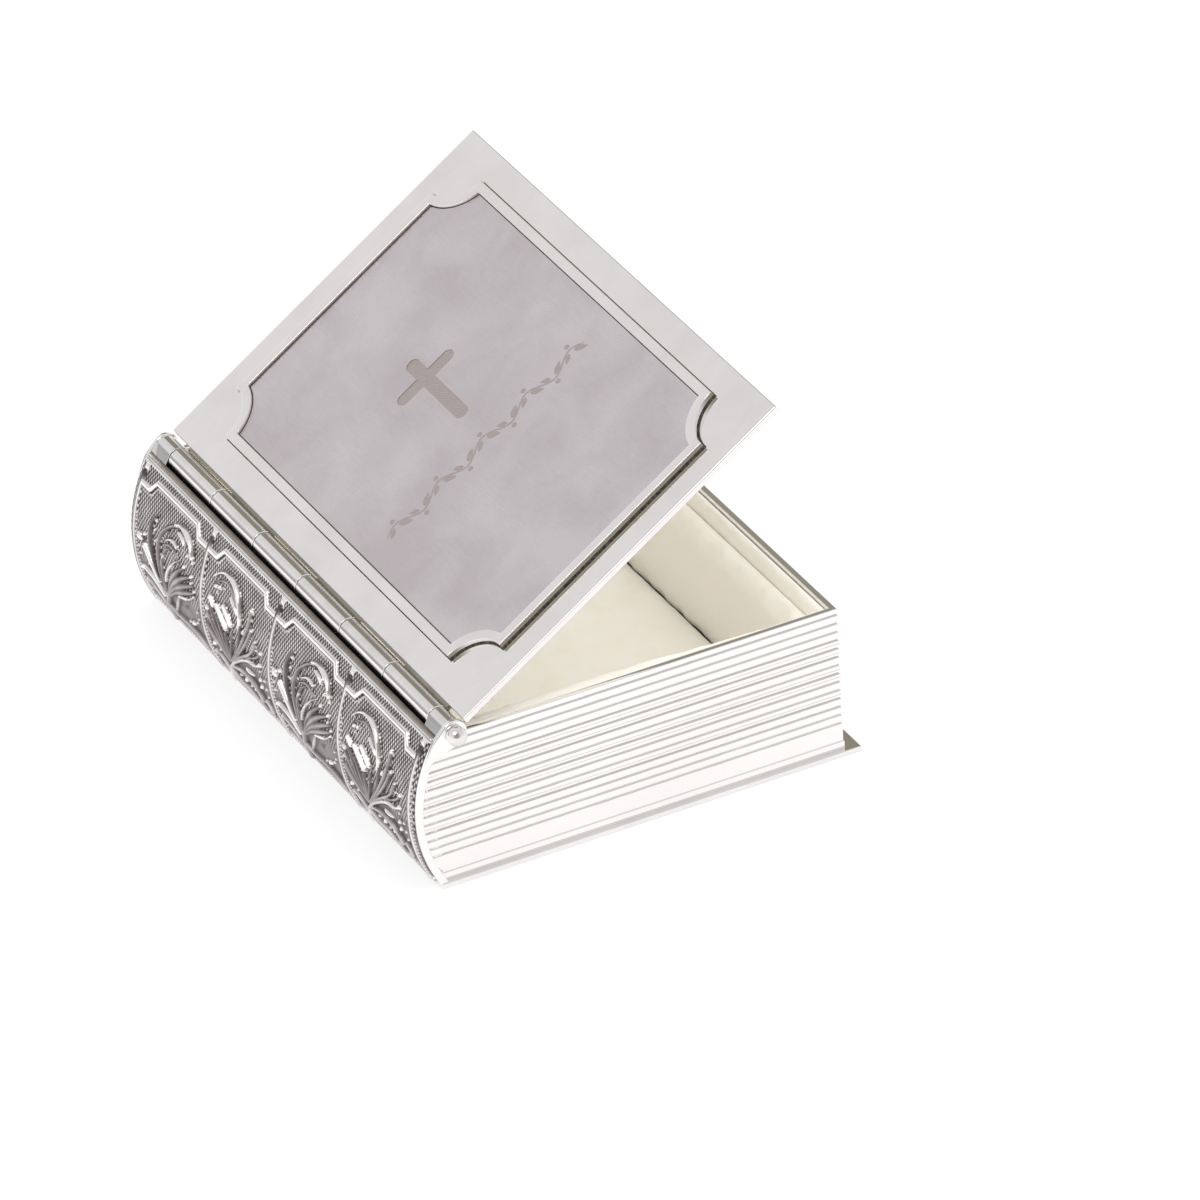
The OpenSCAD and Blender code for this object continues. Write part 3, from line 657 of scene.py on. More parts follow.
scrollStrokes = [
    (0.85, 0.22, (0.12, 0.8, 0.4), [(-4.7, 21.9), (-5.7, 20.4), (-6.2, 18.6), (-6.0, 16.6), (-5.0, 14.2),
                                    (-3.0, 11.2)]),
    (0.95, 0.98, (0.6, 0.6, 0.35), [(-7.9, 14.8), (-6.2, 13.2), (-4.6, 11.7), (-3.2, 10.2)]),
    (0.85, 0.9, (0.45, 0.6, 0.4), [(-10.4, 9.3), (-8.6, 9.9), (-6.6, 9.7), (-4.4, 8.9), (-2.6, 7.6)]),
    (0.8, 0.35, (0.5, 0.5, 0.3), [(-1.2, 9.2), (-2.4, 12.6), (-3.0, 15.6), (-3.0, 18.0), (-2.2, 20.0),
                                  (-0.6, 21.6), (1.0, 22.7), (2.6, 23.2)]),
    (0.98, 1.0, (0.25, 0.66, 0.3), [(1.6, 23.3), (3.4, 23.7), (5.4, 23.4), (7.2, 22.6), (8.4, 21.5),
                                    (8.8, 20.5)]),
    (0.85, 0.95, (0.35, 0.46, 0.3), [(3.0, 22.5), (4.4, 22.2), (5.6, 21.5)]),
    (0.8, 0.95, (0.2, 0.36, 0.25), [(-0.7, 19.3), (0.8, 20.1), (2.2, 20.2), (3.3, 19.8)]),
    (0.55, 0.45, (0.2, 0.32, 0.2), [(-1.2, 18.2), (0.6, 18.9), (2.4, 18.8), (3.6, 18.2)]),
    (0.7, 0.35, (0.35, 0.42, 0.2), [(-1.0, 9.8), (-1.6, 13.0), (-1.5, 15.6), (-0.4, 17.6), (0.8, 18.4)]),
    (0.7, 0.9, (0.2, 0.28, 0.18), [(-1.9, 14.0), (-1.6, 15.3), (-1.0, 16.4)]),
    (0.8, 0.85, (0.25, 0.32, 0.15), [(-0.6, 11.6), (0.0, 13.4), (1.3, 15.3), (3.0, 17.0), (4.4, 18.0)]),
    (0.6, 0.3, (0.3, 0.8, 0.3), [(-0.8, 9.0), (1.2, 12.6), (3.4, 15.2), (6.0, 17.4)]),
    (0.66, 0.34, (0.3, 0.8, 0.3), [(-0.7, 8.9), (2.0, 12.2), (5.2, 15.0), (8.6, 17.0)]),
    (0.66, 0.3, (0.3, 0.8, 0.3), [(-0.6, 8.8), (2.6, 11.8), (6.4, 14.2), (9.9, 16.0)]),
    (0.6, 0.34, (0.3, 0.7, 0.3), [(-0.5, 8.6), (3.0, 11.2), (6.6, 13.0), (9.8, 14.6)]),
    (0.85, 1.0, (0.18, 0.3, 0.2), [(4.2, 11.2), (6.1, 11.8), (8.1, 12.6), (10.1, 14.1)]),
    (0.8, 0.8, (0.18, 0.3, 0.25), [(4.2, 11.2), (3.2, 9.8), (2.2, 8.2), (0.8, 6.4)]),
    (0.85, 0.5, (0.45, 0.55, 0.65), [(-0.8, 9.2), (-1.8, 6.9), (-2.5, 4.5), (-2.8, 2.2)]),
    (0.7, 0.65, (0.35, 0.42, 0.3), [(-2.2, 5.2), (-4.8, 5.5), (-7.2, 6.9), (-9.4, 7.2), (-10.6, 6.0),
                                    (-9.8, 5.0), (-8.9, 5.5)]),
    (0.75, 0.6, (0.35, 0.42, 0.35), [(-2.0, 6.0), (0.4, 5.2), (3.2, 5.4), (6.2, 5.6), (8.8, 5.0),
                                     (10.2, 3.8), (9.4, 2.9), (8.3, 3.5)]),
    (0.6, 0.5, (0.35, 0.4, 0.3), [(-2.8, 3.0), (-5.2, 3.2), (-7.4, 3.9), (-9.6, 3.4), (-10.8, 2.6)]),
    (0.55, 0.5, (0.3, 0.4, 0.3), [(-1.0, 2.8), (2.0, 2.5), (4.8, 3.2), (6.8, 2.6)]),
]
scrollPearls = [
    (-9.9, 15.6, 1.0, 0.75, -30, 1.0), (-8.3, 16.7, 0.6, 0.45, 30, 0.95), (-8.3, 15.3, 0.6, 0.5, 0, 0.25),
    (-4.9, 20.8, 0.5, 0.25, 60, 0.9), (-5.1, 19.0, 0.55, 0.25, 60, 0.9), (-4.6, 17.2, 0.55, 0.25, 60, 0.85),
    (7.0, 20.2, 0.5, 0.4, 60, 0.85), (8.9, 19.8, 0.5, 0.4, 60, 0.9), (6.2, 17.8, 0.6, 0.4, 40, 0.95),
    (8.9, 17.3, 0.65, 0.38, 40, 1.0), (8.9, 16.1, 0.5, 0.3, 50, 0.9), (10.1, 15.1, 0.55, 0.35, 30, 1.0),
    (7.9, 7.6, 1.1, 0.5, 25, 0.95), (6.0, 6.9, 0.45, 0.35, 0, 0.8), (9.8, 8.8, 0.4, 0.35, 0, 0.85),
    (-10.4, 12.0, 0.4, 0.34, 0, 0.85), (-10.6, 13.4, 0.4, 0.34, 0, 0.85), (-7.4, 11.4, 0.45, 0.32, 45, 0.75),
    (-4.9, 7.3, 0.45, 0.32, 0, 0.8), (-6.4, 8.1, 0.35, 0.3, 0, 0.75), (1.6, 4.2, 0.4, 0.32, 0, 0.75),
    (10.7, 11.4, 0.36, 0.32, 0, 0.8), (10.8, 10.0, 0.36, 0.32, 0, 0.8), (5.6, 9.6, 0.4, 0.3, 30, 0.45),
]


def smoothLine(points, samples=64):
    # Catmull-Rom line through the listed points
    p = np.array([points[0], *points, points[-1]], float)
    out = []
    spans = len(points) - 1
    for t in np.linspace(0, spans - 1e-6, samples):
        i = int(t)
        f = t - i
        a, b, c, d = p[i], p[i + 1], p[i + 2], p[i + 3]
        out.append(0.5 * (2 * b + (c - a) * f + (2 * a - 5 * b + 4 * c - d) * f ** 2
                          + (3 * b - a - 3 * c + d) * f ** 3))
    return np.array(out)


def press(surface, near, height, wearAndPaintedLight):
    # Keeps the higher of two pressed shapes, with its own wear and painted light
    higher = height > surface["height"][near]
    surface["height"][near] = np.where(higher, height, surface["height"][near])
    surface["wearAndPaintedLight"][near] = np.where(higher, wearAndPaintedLight, surface["wearAndPaintedLight"][near])


def pressStroke(surface, u, v, rise, bright, widths, points):
    line = smoothLine(points, 24 + 10 * len(points))
    share = np.linspace(0, 1, len(line))
    half = np.interp(share, (0, 0.5, 1), widths)
    reach = max(widths) + 0.1
    near = ((u > line[:, 0].min() - reach) & (u < line[:, 0].max() + reach)
            & (v > line[:, 1].min() - reach) & (v < line[:, 1].max() + reach))
    if not near.any():
        return
    du = u[near][:, None] - line[None, :, 0]
    dv = v[near][:, None] - line[None, :, 1]
    part = (np.sqrt(du ** 2 + dv ** 2) / half[None, :]).min(axis=1)
    inside = np.clip(1 - part ** 2, 0, 1)
    # A thin bright crest line on the darker strokes: worn crest and painted highlight
    crestHighlight = np.exp(-(part / 0.3) ** 2) * 0.4 * (1 - bright)
    wearAndPaintedLight = 0.2 + (bright - 0.2) * np.clip(inside * 2.2, 0, 1) + crestHighlight
    press(surface, near, np.where(part < 1, rise * inside ** 0.6, 0), wearAndPaintedLight)


def pressPearl(surface, u, v, centre, halves, turn, bright):
    du, dv = u - centre[0], v - centre[1]
    a = math.radians(turn)
    along = (du * math.cos(a) + dv * math.sin(a)) / halves[0]
    across = (dv * math.cos(a) - du * math.sin(a)) / halves[1]
    away = along ** 2 + across ** 2
    near = away < 1
    inside = 1 - away[near]
    rise = 0.3 + min(0.55, 0.75 * halves[1])
    press(surface, near, rise * inside ** 0.5, 0.3 + (bright - 0.3) * np.clip(inside * 2.5, 0, 1))


def blurred(values, radius):
    # Box blur both ways, done twice
    out = values
    size = 2 * radius + 1
    for _ in range(2):
        for axis in (0, 1):
            pad = [(radius, radius) if a == axis else (0, 0) for a in (0, 1)]
            sums = np.cumsum(np.pad(out, pad, mode="edge"), axis=axis)
            sums = np.concatenate([np.zeros_like(np.take(sums, [0], axis=axis)), sums], axis=axis)
            high = np.take(sums, range(size, sums.shape[axis]), axis=axis)
            low = np.take(sums, range(0, sums.shape[axis] - size), axis=axis)
            out = (high - low) / size
    return out


def smoothStep(values, low, high):
    t = np.clip((values - low) / (high - low), 0, 1)
    return t * t * (3 - 2 * t)


def pressBars(surface, u, v, half):
    # The stepped bar over each panel: bright worn flat top, a lower bevel painted dark as its shadow, and a
    # fine line under it
    level, drop = relief["barLevel"], relief["barDrop"]
    outer, inner = relief["barShoulder"]
    corners = [(-half, level - drop), (-outer, level - drop), (-inner, level), (inner, level),
               (outer, level - drop), (half, level - drop)]
    gap = np.full(u.shape, 99.0)
    for (u0, v0), (u1, v1) in zip(corners, corners[1:]):
        squared = (u1 - u0) ** 2 + (v1 - v0) ** 2
        along = np.clip(((u - u0) * (u1 - u0) + (v - v0) * (v1 - v0)) / squared, 0, 1)
        gap = np.minimum(gap, np.hypot(u - u0 - along * (u1 - u0), v - v0 - along * (v1 - v0)))
    under = v < np.interp(u, [c[0] for c in corners], [c[1] for c in corners])
    inPanel = np.abs(u) < half
    wide = relief["barHalf"]
    slope = np.where(under, *relief["barSlopes"])
    bar = relief["barHeight"] * np.clip((wide + slope - gap) / slope, 0, 1)
    # Painted shadow: the bevel under the bar is set nearly black
    wearAndPaintedLight = np.where(gap < wide, 0.97, np.where(under, 0.04, 0.7))
    press(surface, inPanel & (gap < wide + slope), bar[inPanel & (gap < wide + slope)],
          wearAndPaintedLight[inPanel & (gap < wide + slope)])
    lineFrom, lineTo = relief["barLine"]
    line = inPanel & under & (gap > wide + lineFrom) & (gap < wide + lineTo)
    press(surface, line, np.full(int(line.sum()), 0.2), 0.66)


def pressBands(surface, y, v, arcLength):
    # The raised bands over the spine, their dark heads, painted highlight lines down their flanks, and a
    # bright stud on each head
    headFrom, headTo = relief["headFrom"]
    bandEnd, beadOut = relief["bandEnd"], relief["beadOut"]
    for k in range(relief["panels"] + 1):
        right = (k - relief["panels"] / 2) * panelWidth - y
        head = smoothStep(v, headFrom, headTo)
        wide = relief["bandHalf"] * (1 + 0.35 * head)
        inside = np.clip(1 - (right / wide) ** 2, 0, 1)
        near = (inside > 0) & (v < bandEnd)
        band = relief["bandHeight"] * np.sqrt(inside) * (1 - 0.75 * smoothStep(v, headTo, bandEnd))
        # Painted highlights: a bright line down one flank of each band and a fainter one down the other
        edgeHighlight = 0.75 * np.exp(-((right / wide - 0.62) / 0.2) ** 2) * (1 - head)
        wearAndPaintedLight = 0.34 - 0.16 * head + edgeHighlight + 0.25 * np.exp(-((right / wide + 0.75) / 0.15) ** 2)
        press(surface, near, band[near], wearAndPaintedLight[near])
        studUp = np.abs(v - (arcLength - relief["studDrop"]))
        stud = relief["stud"] - np.maximum(np.abs(right - 0.1), studUp)
        near = stud > 0
        press(surface, near, 0.2 + stud[near] * 0.9, 1.0)
        for at in np.arange(*relief["beadsFrom"], relief["beadPitch"]):
            squared = (right - beadOut) ** 2 + (v - at) ** 2
            near = squared < relief["beadRadius"] ** 2
            away = squared[near] / relief["beadRadius"] ** 2
            press(surface, near, 0.45 * np.sqrt(1 - away), 0.95 - 0.5 * away)


def pressSpine(y, v, arcLength):
    # Height of the pressed relief over every grid point, and its wear with painted highlights and shadows
    alongWave = np.cos(2 * np.pi * y / relief["dotAlong"])
    upWave = np.cos(2 * np.pi * v / relief["dotUp"])
    dots = np.clip(0.5 + 0.9 * alongWave * upWave, 0, 1)
    show = smoothStep(v, *relief["dotsFrom"])
    surface = {"height": relief["ground"] * (dots * show + 0.5 * (1 - show)),
               "wearAndPaintedLight": (0.04 + 0.82 * dots ** 1.3) * show + 0.36 * (1 - show)}
    half = panelWidth / 2
    for k in range(relief["panels"]):
        u = (k - (relief["panels"] - 1) / 2) * panelWidth - y
        strokes, pearls = (palmetteStrokes, palmettePearls) if k % 2 == 0 else (scrollStrokes, scrollPearls)
        for rise, bright, widths, points in strokes:
            pressStroke(surface, u, v, rise, bright, widths, points)
        for pu, pv, long, wide, turn, bright in pearls:
            pressPearl(surface, u, v, (pu, pv), (long, wide), turn, bright)
        pressBars(surface, u, v, half)
    pressBands(surface, y, v, arcLength)
    footBead = np.abs(np.cos(np.pi * y / relief["footBeadPitch"]))
    beadAt, beadHalf = relief["footBeadAt"], relief["footBeadHalf"]
    near = np.abs(v - beadAt) < beadHalf
    across = np.sqrt(1 - ((v[near] - beadAt) / beadHalf) ** 2)
    press(surface, near, 0.45 * across * footBead[near], 0.3 + 0.6 * footBead[near])
    for low, high, rise, wearAndPaintedLight in ((0, 0.55, 0.45, 0.8), (arcLength - 0.75, arcLength, 0.26, 0.95)):
        near = (v >= low) & (v <= high)
        press(surface, near, np.full(int(near.sum()), rise), wearAndPaintedLight)
    groove = np.abs(v - (arcLength - 0.36)) < 0.08
    surface["height"][groove] -= 0.14
    surface["wearAndPaintedLight"][groove] = 0.3
    return surface["height"], surface["wearAndPaintedLight"]


def makeSpine():
    footAngle, topAngle = arcAngle(baseHigh.z), arcAngle(spineTop)
    arcLength = spineArc["radius"] * (topAngle - footAngle)
    halfLength = faceY - 0.02
    columns = int(2 * halfLength / relief["cell"])
    rows = int(arcLength / relief["cell"])
    v, y = np.meshgrid(np.linspace(0, arcLength, rows + 1), np.linspace(-halfLength, halfLength, columns + 1),
                       indexing="ij")
    height, wearAndPaintedLight = pressSpine(y, v, arcLength)
    height = height * np.clip(np.minimum(np.minimum(v, arcLength - v), halfLength - np.abs(y)) / 0.12, 0, 1)
    hollow = np.clip(blurred(height, 4) - height, 0, 1)
    wearAndPaintedLight = np.clip(wearAndPaintedLight - 0.55 * hollow, 0, 1)
    height, wearAndPaintedLight = height * 0.55 + blurred(height, 1) * 0.45, wearAndPaintedLight * 0.7 + blurred(wearAndPaintedLight, 1) * 0.3
    angle = footAngle + v / spineArc["radius"]
    radius = spineArc["radius"] + height
    x = arcCentre[0] - radius * np.cos(angle)
    z = np.clip(arcCentre[1] + radius * np.sin(angle), baseHigh.z, spineTop)
    outside = np.stack([x, y, z], -1).reshape(-1, 3)
    inRadius = spineArc["radius"] - spineArc["metal"]
    innerAngle = np.linspace(arcAngle(baseHigh.z, inRadius), arcAngle(spineTop, inRadius), rows + 1)
    count = (rows + 1) * (columns + 1)
    grid = np.arange(count).reshape(rows + 1, columns + 1)
    quads = np.stack([grid[:-1, :-1], grid[:-1, 1:], grid[1:, 1:], grid[1:, :-1]], -1).reshape(-1, 4)
    inside = []
    for sideY in (-halfLength, halfLength):
        for a in innerAngle:
            innerX = arcCentre[0] - inRadius * math.cos(a)
            innerZ = arcCentre[1] + inRadius * math.sin(a)
            inside.append((innerX, sideY, innerZ))
    left, right = count, count + rows + 1
    faces = quads.tolist()
    for r in range(rows):
        faces.append((left + r, left + r + 1, right + r + 1, right + r))
        faces.append((int(grid[r, 0]), int(grid[r + 1, 0]), left + r + 1, left + r))
        faces.append((int(grid[r + 1, -1]), int(grid[r, -1]), right + r, right + r + 1))
    faces.append(tuple(int(i) for i in grid[0, :]) + (right, left))
    faces.append(tuple(int(i) for i in grid[-1, ::-1]) + (left + rows, right + rows))
    piece = newPiece("spineRelief", np.concatenate([outside, inside]), faces, spineSilver, "box",
                     ["spine_shell"], sharp=75, even=False)
    # The tone attribute holds wear and painted light
    attribute = piece.data.attributes.new("wearAndPaintedLight", "FLOAT", "POINT")
    everyWearAndLight = np.concatenate([wearAndPaintedLight.ravel(), np.full(len(inside), relief["innerWear"])])
    attribute.data.foreach_set("value", everyWearAndLight.astype(np.float32))


# A dark fill closes the narrow trough between the spine's top edge and the barrel: painted shade of the
# trough
troughShadeFill = {"inset": 4.9, "clear": 0.3, "sunk": 0.75, "low": 2.6, "from": 203, "to": 245,
              "intoShell": 0.05, "toeOut": 1.4, "toeDrop": 0.2}


def makeTroughShadeFill(barrel):
    inner = spineArc["radius"] - spineArc["metal"] + troughShadeFill["intoShell"]
    high, low = spineTop - troughShadeFill["sunk"], spineTop - troughShadeFill["low"]
    radius = barrel + troughShadeFill["clear"]
    profile = [(arcPoint(inner, high), high)]
    profile += [(hinge.x + radius * math.cos(math.radians(a)), hinge.z + radius * math.sin(math.radians(a)))
                for a in range(troughShadeFill["from"], troughShadeFill["to"] + 1, 6)]
    profile += [(hinge.x - troughShadeFill["toeOut"], low - troughShadeFill["toeDrop"]), (arcPoint(inner, low), low)]
    reach = faceY - troughShadeFill["inset"]
    verts, faces = loft([[(x, y, z) for x, z in profile] for y in (-reach, reach)])
    newPiece("spineTroughShade", verts, faces, shadeFill, "box")


makeSpine()
print("spine relief made")


# End rims of the spine: a rounded bead that grows into the ring round the pin
endRim = {"ring": 2.3, "tube": 2.05, "web": 4, "round": 0.3, "tubeLength": 5.6, "tubeRound": 0.08,
          "arcSteps": 48}


def tangentAngle(point, radius, side):  # where a line from the point touches a circle round the hinge
    dx, dz = point[0] - hinge.x, point[1] - hinge.z
    return math.atan2(dz, dx) + side * math.acos(radius / math.hypot(dx, dz))


def rimOutline(ring, arcInner, arcOuter, footZ):
    # Arc band from the foot up, round the ring and back down the inside
    top = (arcPoint(arcOuter, spineTop), spineTop)
    low = spineTop - endRim["web"]
    webFoot = (arcPoint(arcInner, low), low)
    start, end = tangentAngle(top, ring, -1), tangentAngle(webFoot, ring, 1)
    outline = []
    steps = endRim["arcSteps"]
    for k in range(steps + 1):
        z = footZ + (spineTop - footZ) * k / steps
        outline.append((arcPoint(arcOuter, z), z))
    while end > start:
        end -= 2 * math.pi
    for k in range(steps + 1):
        a = start + (end - start) * k / steps
        outline.append((hinge.x + ring * math.cos(a), hinge.z + ring * math.sin(a)))
    for k in range(steps + 1):
        z = low + (footZ - low) * k / steps
        outline.append((arcPoint(arcInner, z), z))
    return outline


def makeEndRim(name, node, side):
    # side is -1 at the foot of the book and 1 at its head; XZ outlines are laid in the XY plane first
    outerR, depth = spineArc["radius"], spineArc["rimDepth"]
    face = flatShape(name, [rimOutline(endRim["ring"], outerR - spineArc["endRim"], outerR, baseHigh.z)],
                     depth, endRim["round"])
    stand = Matrix.Rotation(math.radians(90), 4, "X")
    shapePiece(name, face, Matrix.Translation((0, side * halfDepth + (depth if side < 0 else 0), 0)) @ stand,
               pageSilver, "box", [node], sharp=40)
    inner = outerR - spineArc["metal"]
    top = (arcPoint(inner, spineTop), spineTop)
    low = spineTop - endRim["web"]
    foot = (arcPoint(inner, low), low)
    tube = endRim["tube"]
    start, end = tangentAngle(top, tube, -1), tangentAngle(foot, tube, 1)
    while end > start:
        end -= 2 * math.pi
    outline = [foot, top] + [(hinge.x + tube * math.cos(a), hinge.z + tube * math.sin(a))
                             for a in np.linspace(start, end, 40)]
    length = endRim["tubeLength"] - depth
    ear = flatShape(name + "Ear", [outline], length, endRim["tubeRound"], 2)
    near = side * (halfDepth - depth)
    shapePiece(name + "Ear", ear, Matrix.Translation((0, near if side > 0 else near + length, 0)) @ stand,
               hingeSilver, "box", sharp=40)


makeEndRim("spineRimFront", "front_spine_rim", -1)
makeEndRim("spineRimRear", "rear_spine_rim", 1)
print("spine end rims made")


# Piano hinge: rolled knuckles on two leaves, and a pin with a ball head
hingeParts = {
    "barrel": 2.05,
    "bore": 1.05,
    "knuckles": 6,
    "ear": 5.7,
    "gap": 0.2,
    "round": 0.16,
    "leaf": 0.5,
    "lidTop": 0.85,
    "lidThick": 1.2,
    "lidGap": 2.6,
    "lidReach": 8,
    "boxReach": 10,
    "ball": 1.72,
    "ballOut": 0.75,
    "slotStrip": (0.18, 0.5),
    "stripGap": 0.14,
    "leafRound": 0.06,
    "wallGap": 0.1,
    "boxDrop": 0.4,
    "boxTip": 0.4,
}
knuckleStep = (2 * halfDepth - 2 * hingeParts["ear"]) / hingeParts["knuckles"]
lidUnder = hingeParts["lidTop"] - hingeParts["lidThick"]


def knuckleSpan(k):
    start = (k - hingeParts["knuckles"] / 2) * knuckleStep + hingeParts["gap"] / 2
    return start, start + knuckleStep - hingeParts["gap"]


def joinParts(parts):
    verts, faces = [], []
    for partVerts, partFaces in parts:
        base = len(verts)
        verts += list(partVerts)
        faces += [tuple(i + base for i in f) for f in partFaces]
    return verts, faces


def knuckle(k):
    y0, y1 = knuckleSpan(k)
    r = hingeParts["barrel"]
    round_ = hingeParts["round"]
    profile = [(hingeParts["bore"], y0)]
    profile += [(r - round_ + round_ * math.sin(a), y0 + round_ - round_ * math.cos(a))
                for a in np.linspace(0, math.pi / 2, 5)]
    profile += [(r, y0 + round_ + 0.1), (r, y1 - round_ - 0.1)]
    profile += [(r - round_ + round_ * math.cos(a), y1 - round_ + round_ * math.sin(a))
                for a in np.linspace(0, math.pi / 2, 5)]
    profile += [(hingeParts["bore"], y1)]
    return latheY(profile, 72)


def combOutline(reach, inner, outer, tip, tabs):
    # A leaf from inner to outer, with tabs out to the tip at each span
    outline = [(outer, -reach), (outer, reach), (inner, reach)]
    for y0, y1 in tabs[::-1]:
        far, near = min(y1, reach), max(y0, -reach)
        outline += [(inner, far), (tip, far), (tip, near), (inner, near)]
    outline.append((inner, -reach))
    return [p for p, q in zip(outline, outline[1:] + outline[:1]) if p != q]


def makeHinge():
    leaf = hingeParts["leaf"]
    reach = hingeParts["knuckles"] * knuckleStep / 2 - hingeParts["gap"]
    spans = [knuckleSpan(k) for k in range(hingeParts["knuckles"])]
    onLid, onBox = spans[0::2], spans[1::2]
    tip = hingeParts["bore"] + 0.1
    outline = combOutline(reach, hingeParts["lidGap"], hingeParts["lidReach"], tip, onLid)
    plate = flatShape("hingeLeafCoverPlate", [outline], leaf - 0.01, hingeParts["leafRound"], 2)
    shapePiece("hingeLeafCoverPlate", plate, lidPlace @ Matrix.Translation((0, 0, lidUnder - leaf)),
               slotShadeLeaf, "lid", sharp=40)
    # A dark olive strip under the cover's edge closes the narrow slot beside the barrel: painted shade of the
    # slot
    low, high = hingeParts["slotStrip"]
    verts, faces = bevelledPlate((hingeParts["barrel"] + hingeParts["stripGap"], -reach, lidUnder + low),
                                 (hingeParts["lidGap"] + 0.02, reach, lidUnder + high), 0.05)
    newPiece("hingeSlotShadeStrip", verts, faces, slotShadeLeaf, "lid", place=lidPlace)
    wall = hingeParts["barrel"] + hingeParts["wallGap"]
    low = -hingeParts["barrel"] - hingeParts["boxDrop"]
    outline = combOutline(reach, -low, hingeParts["boxReach"] - low, hingeParts["boxTip"], onBox)
    plate = flatShape("hingeLeafBoxPlate", [outline], leaf - 0.01, hingeParts["leafRound"], 2)
    upright = Matrix(((0, 0, 1, 0), (0, 1, 0, 0), (-1, 0, 0, 0), (0, 0, 0, 1)))
    shapePiece("hingeLeafBoxPlate", plate, Matrix.Translation(hinge + Vector((wall - leaf, 0, 0))) @ upright,
               hingeSilver, "box", sharp=40)
    lidParts = [knuckle(k) for k in range(0, hingeParts["knuckles"], 2)]
    boxParts = [knuckle(k) for k in range(1, hingeParts["knuckles"], 2)]
    verts, faces = joinParts(lidParts)
    newPiece("hingeKnucklesCover", verts, faces, hingeSilver, "lid",
             ["lid_hinge_leaf"], lidPlace, sharp=32)
    verts, faces = joinParts(boxParts)
    newPiece("hingeKnucklesBox", verts, faces, hingeSilver, "box",
             ["box_hinge_leaf"], Matrix.Translation(hinge), sharp=32)
    ball, out = hingeParts["ball"], hingeParts["ballOut"]
    centre = -halfDepth - out
    pin = hingeParts["bore"] - 0.05
    profile = [(0.02, halfDepth + 0.2), (pin * 0.6, halfDepth + 0.17), (pin - 0.03, halfDepth + 0.02),
               (pin, halfDepth), (pin, -halfDepth - 0.05)]
    first = math.acos(max(-1, (out - 0.05) / ball))
    profile += [(ball * math.sin(a), centre + ball * math.cos(a))
                for a in np.linspace(first, math.pi - 0.02, 26)]
    verts, faces = latheY(profile, 64, closed=False)
    newPiece("hingePin", verts, faces, hingeSilver, "box", ["hinge_pin"],
             Matrix.Translation(hinge), sharp=50)


makeHinge()
makeTroughShadeFill(hingeParts["barrel"])
print("hinge made")


# Cover plate, moulding and plaque, in the cover's own frame
cover = {
    "edge": 0.24,
    "frameIn": 5.4,
    "frameWidth": 1.8,
    "frameHeight": 1.15,
    "frameRound": 0.14,
    "scoop": 7.1,
    "seam": 0.2,
    "plaqueGap": 0.15,
    "plaque": 0.6,
    "crossLength": 19.8,
    "crossSpan": 12.6,
    "crossArm": 2.6,
    "crossHead": 5.8,
    "crossUp": 10.3,
    "etch": 0.1,
}
coverX0, coverX1 = hingeParts["lidGap"], baseHigh.x - hinge.x
coverTop = hingeParts["lidTop"]
frameX0, frameX1 = coverX0 + cover["frameIn"], coverX1 - cover["frameIn"]
frameY = halfDepth - cover["frameIn"]


def scoopedOutline(inset, steps=20):
    # Rectangle with its corners scooped out by quarter circles, inset from the outer line
    outline = []
    radius = cover["scoop"] + inset
    side = math.sqrt(radius ** 2 - inset ** 2)
    corners = [(frameX0, -frameY, 1, 1), (frameX1, -frameY, -1, 1),
               (frameX1, frameY, -1, -1), (frameX0, frameY, 1, -1)]
    for n, (cx, cy, sx, sy) in enumerate(corners):
        first, last = math.atan2(side, inset), math.atan2(inset, side)
        if n % 2:
            first, last = last, first
        for k in range(steps + 1):
            a = first + (last - first) * k / steps
            outline.append((cx + sx * radius * math.cos(a), cy + sy * radius * math.sin(a)))
    return outline


def makeCover():
    low, high = (coverX0, -halfDepth, lidUnder), (coverX1, halfDepth, coverTop)
    verts, faces = bevelledPlate(low, high, cover["edge"])
    onCover = lidPlace @ Matrix.Translation((0, 0, coverTop))
    newPiece("coverPlate", verts, faces, coverSilver, "lid", ["lid_plate"], lidPlace)
    moulding = flatShape("coverMoulding", [scoopedOutline(0), scoopedOutline(cover["frameWidth"])[::-1]],
                         cover["frameHeight"], cover["frameRound"])
    shapePiece("coverMoulding", moulding, onCover, coverSilver, "lid",
               ["lid_moulding"], sharp=40)
    # Thin dark strips of painted shade: one along the moulding's outer foot, one in the gap round the plaque
    for name, outer, inner, height in (("mouldingShadeLineOuter", -cover["seam"], 0, cover["seam"]),
                                       ("mouldingShadeLineInner", cover["frameWidth"],
                                        cover["frameWidth"] + cover["plaqueGap"], cover["plaque"] - 0.12)):
        seam = flatShape(name, [scoopedOutline(outer), scoopedOutline(inner)[::-1]], height, 0.03, 1)
        shapePiece(name, seam, onCover, shadeFill, "lid")
    dress("lid_plaque", plaqueNickel)
    dress("lid_card", card)
    dress("base_card", card)


def crossOutline(shrink):
    # One outline of the cross with round ends
    arm = cover["crossArm"] / 2 - shrink
    length, span = cover["crossLength"] / 2, cover["crossSpan"] / 2
    barY = length - cover["crossHead"]
    round_ = cover["crossArm"] / 2

    def cap(cx, cy, start):
        return [(cx + arm * math.cos(start + math.pi * k / 12), cy + arm * math.sin(start + math.pi * k / 12))
                for k in range(13)]

    points = cap(0, length - round_, 0)
    points += [(-arm, barY + arm)] + cap(-span + round_, barY, math.pi / 2) + [(-arm, barY - arm)]
    points += cap(0, -length + round_, math.pi)
    points += [(arm, barY - arm)] + cap(span - round_, barY, -math.pi / 2) + [(arm, barY + arm)]
    return points


# Etched band of leaves and berries under the cross
band = {"x0": 14.7, "x1": 59.9, "y": -8.0, "units": 9, "steps": 24, "wave": 1.25, "line": 0.36,
        "leafLength": 2.8, "leafWidth": 1.2, "berry": 0.5, "proud": 0.012}


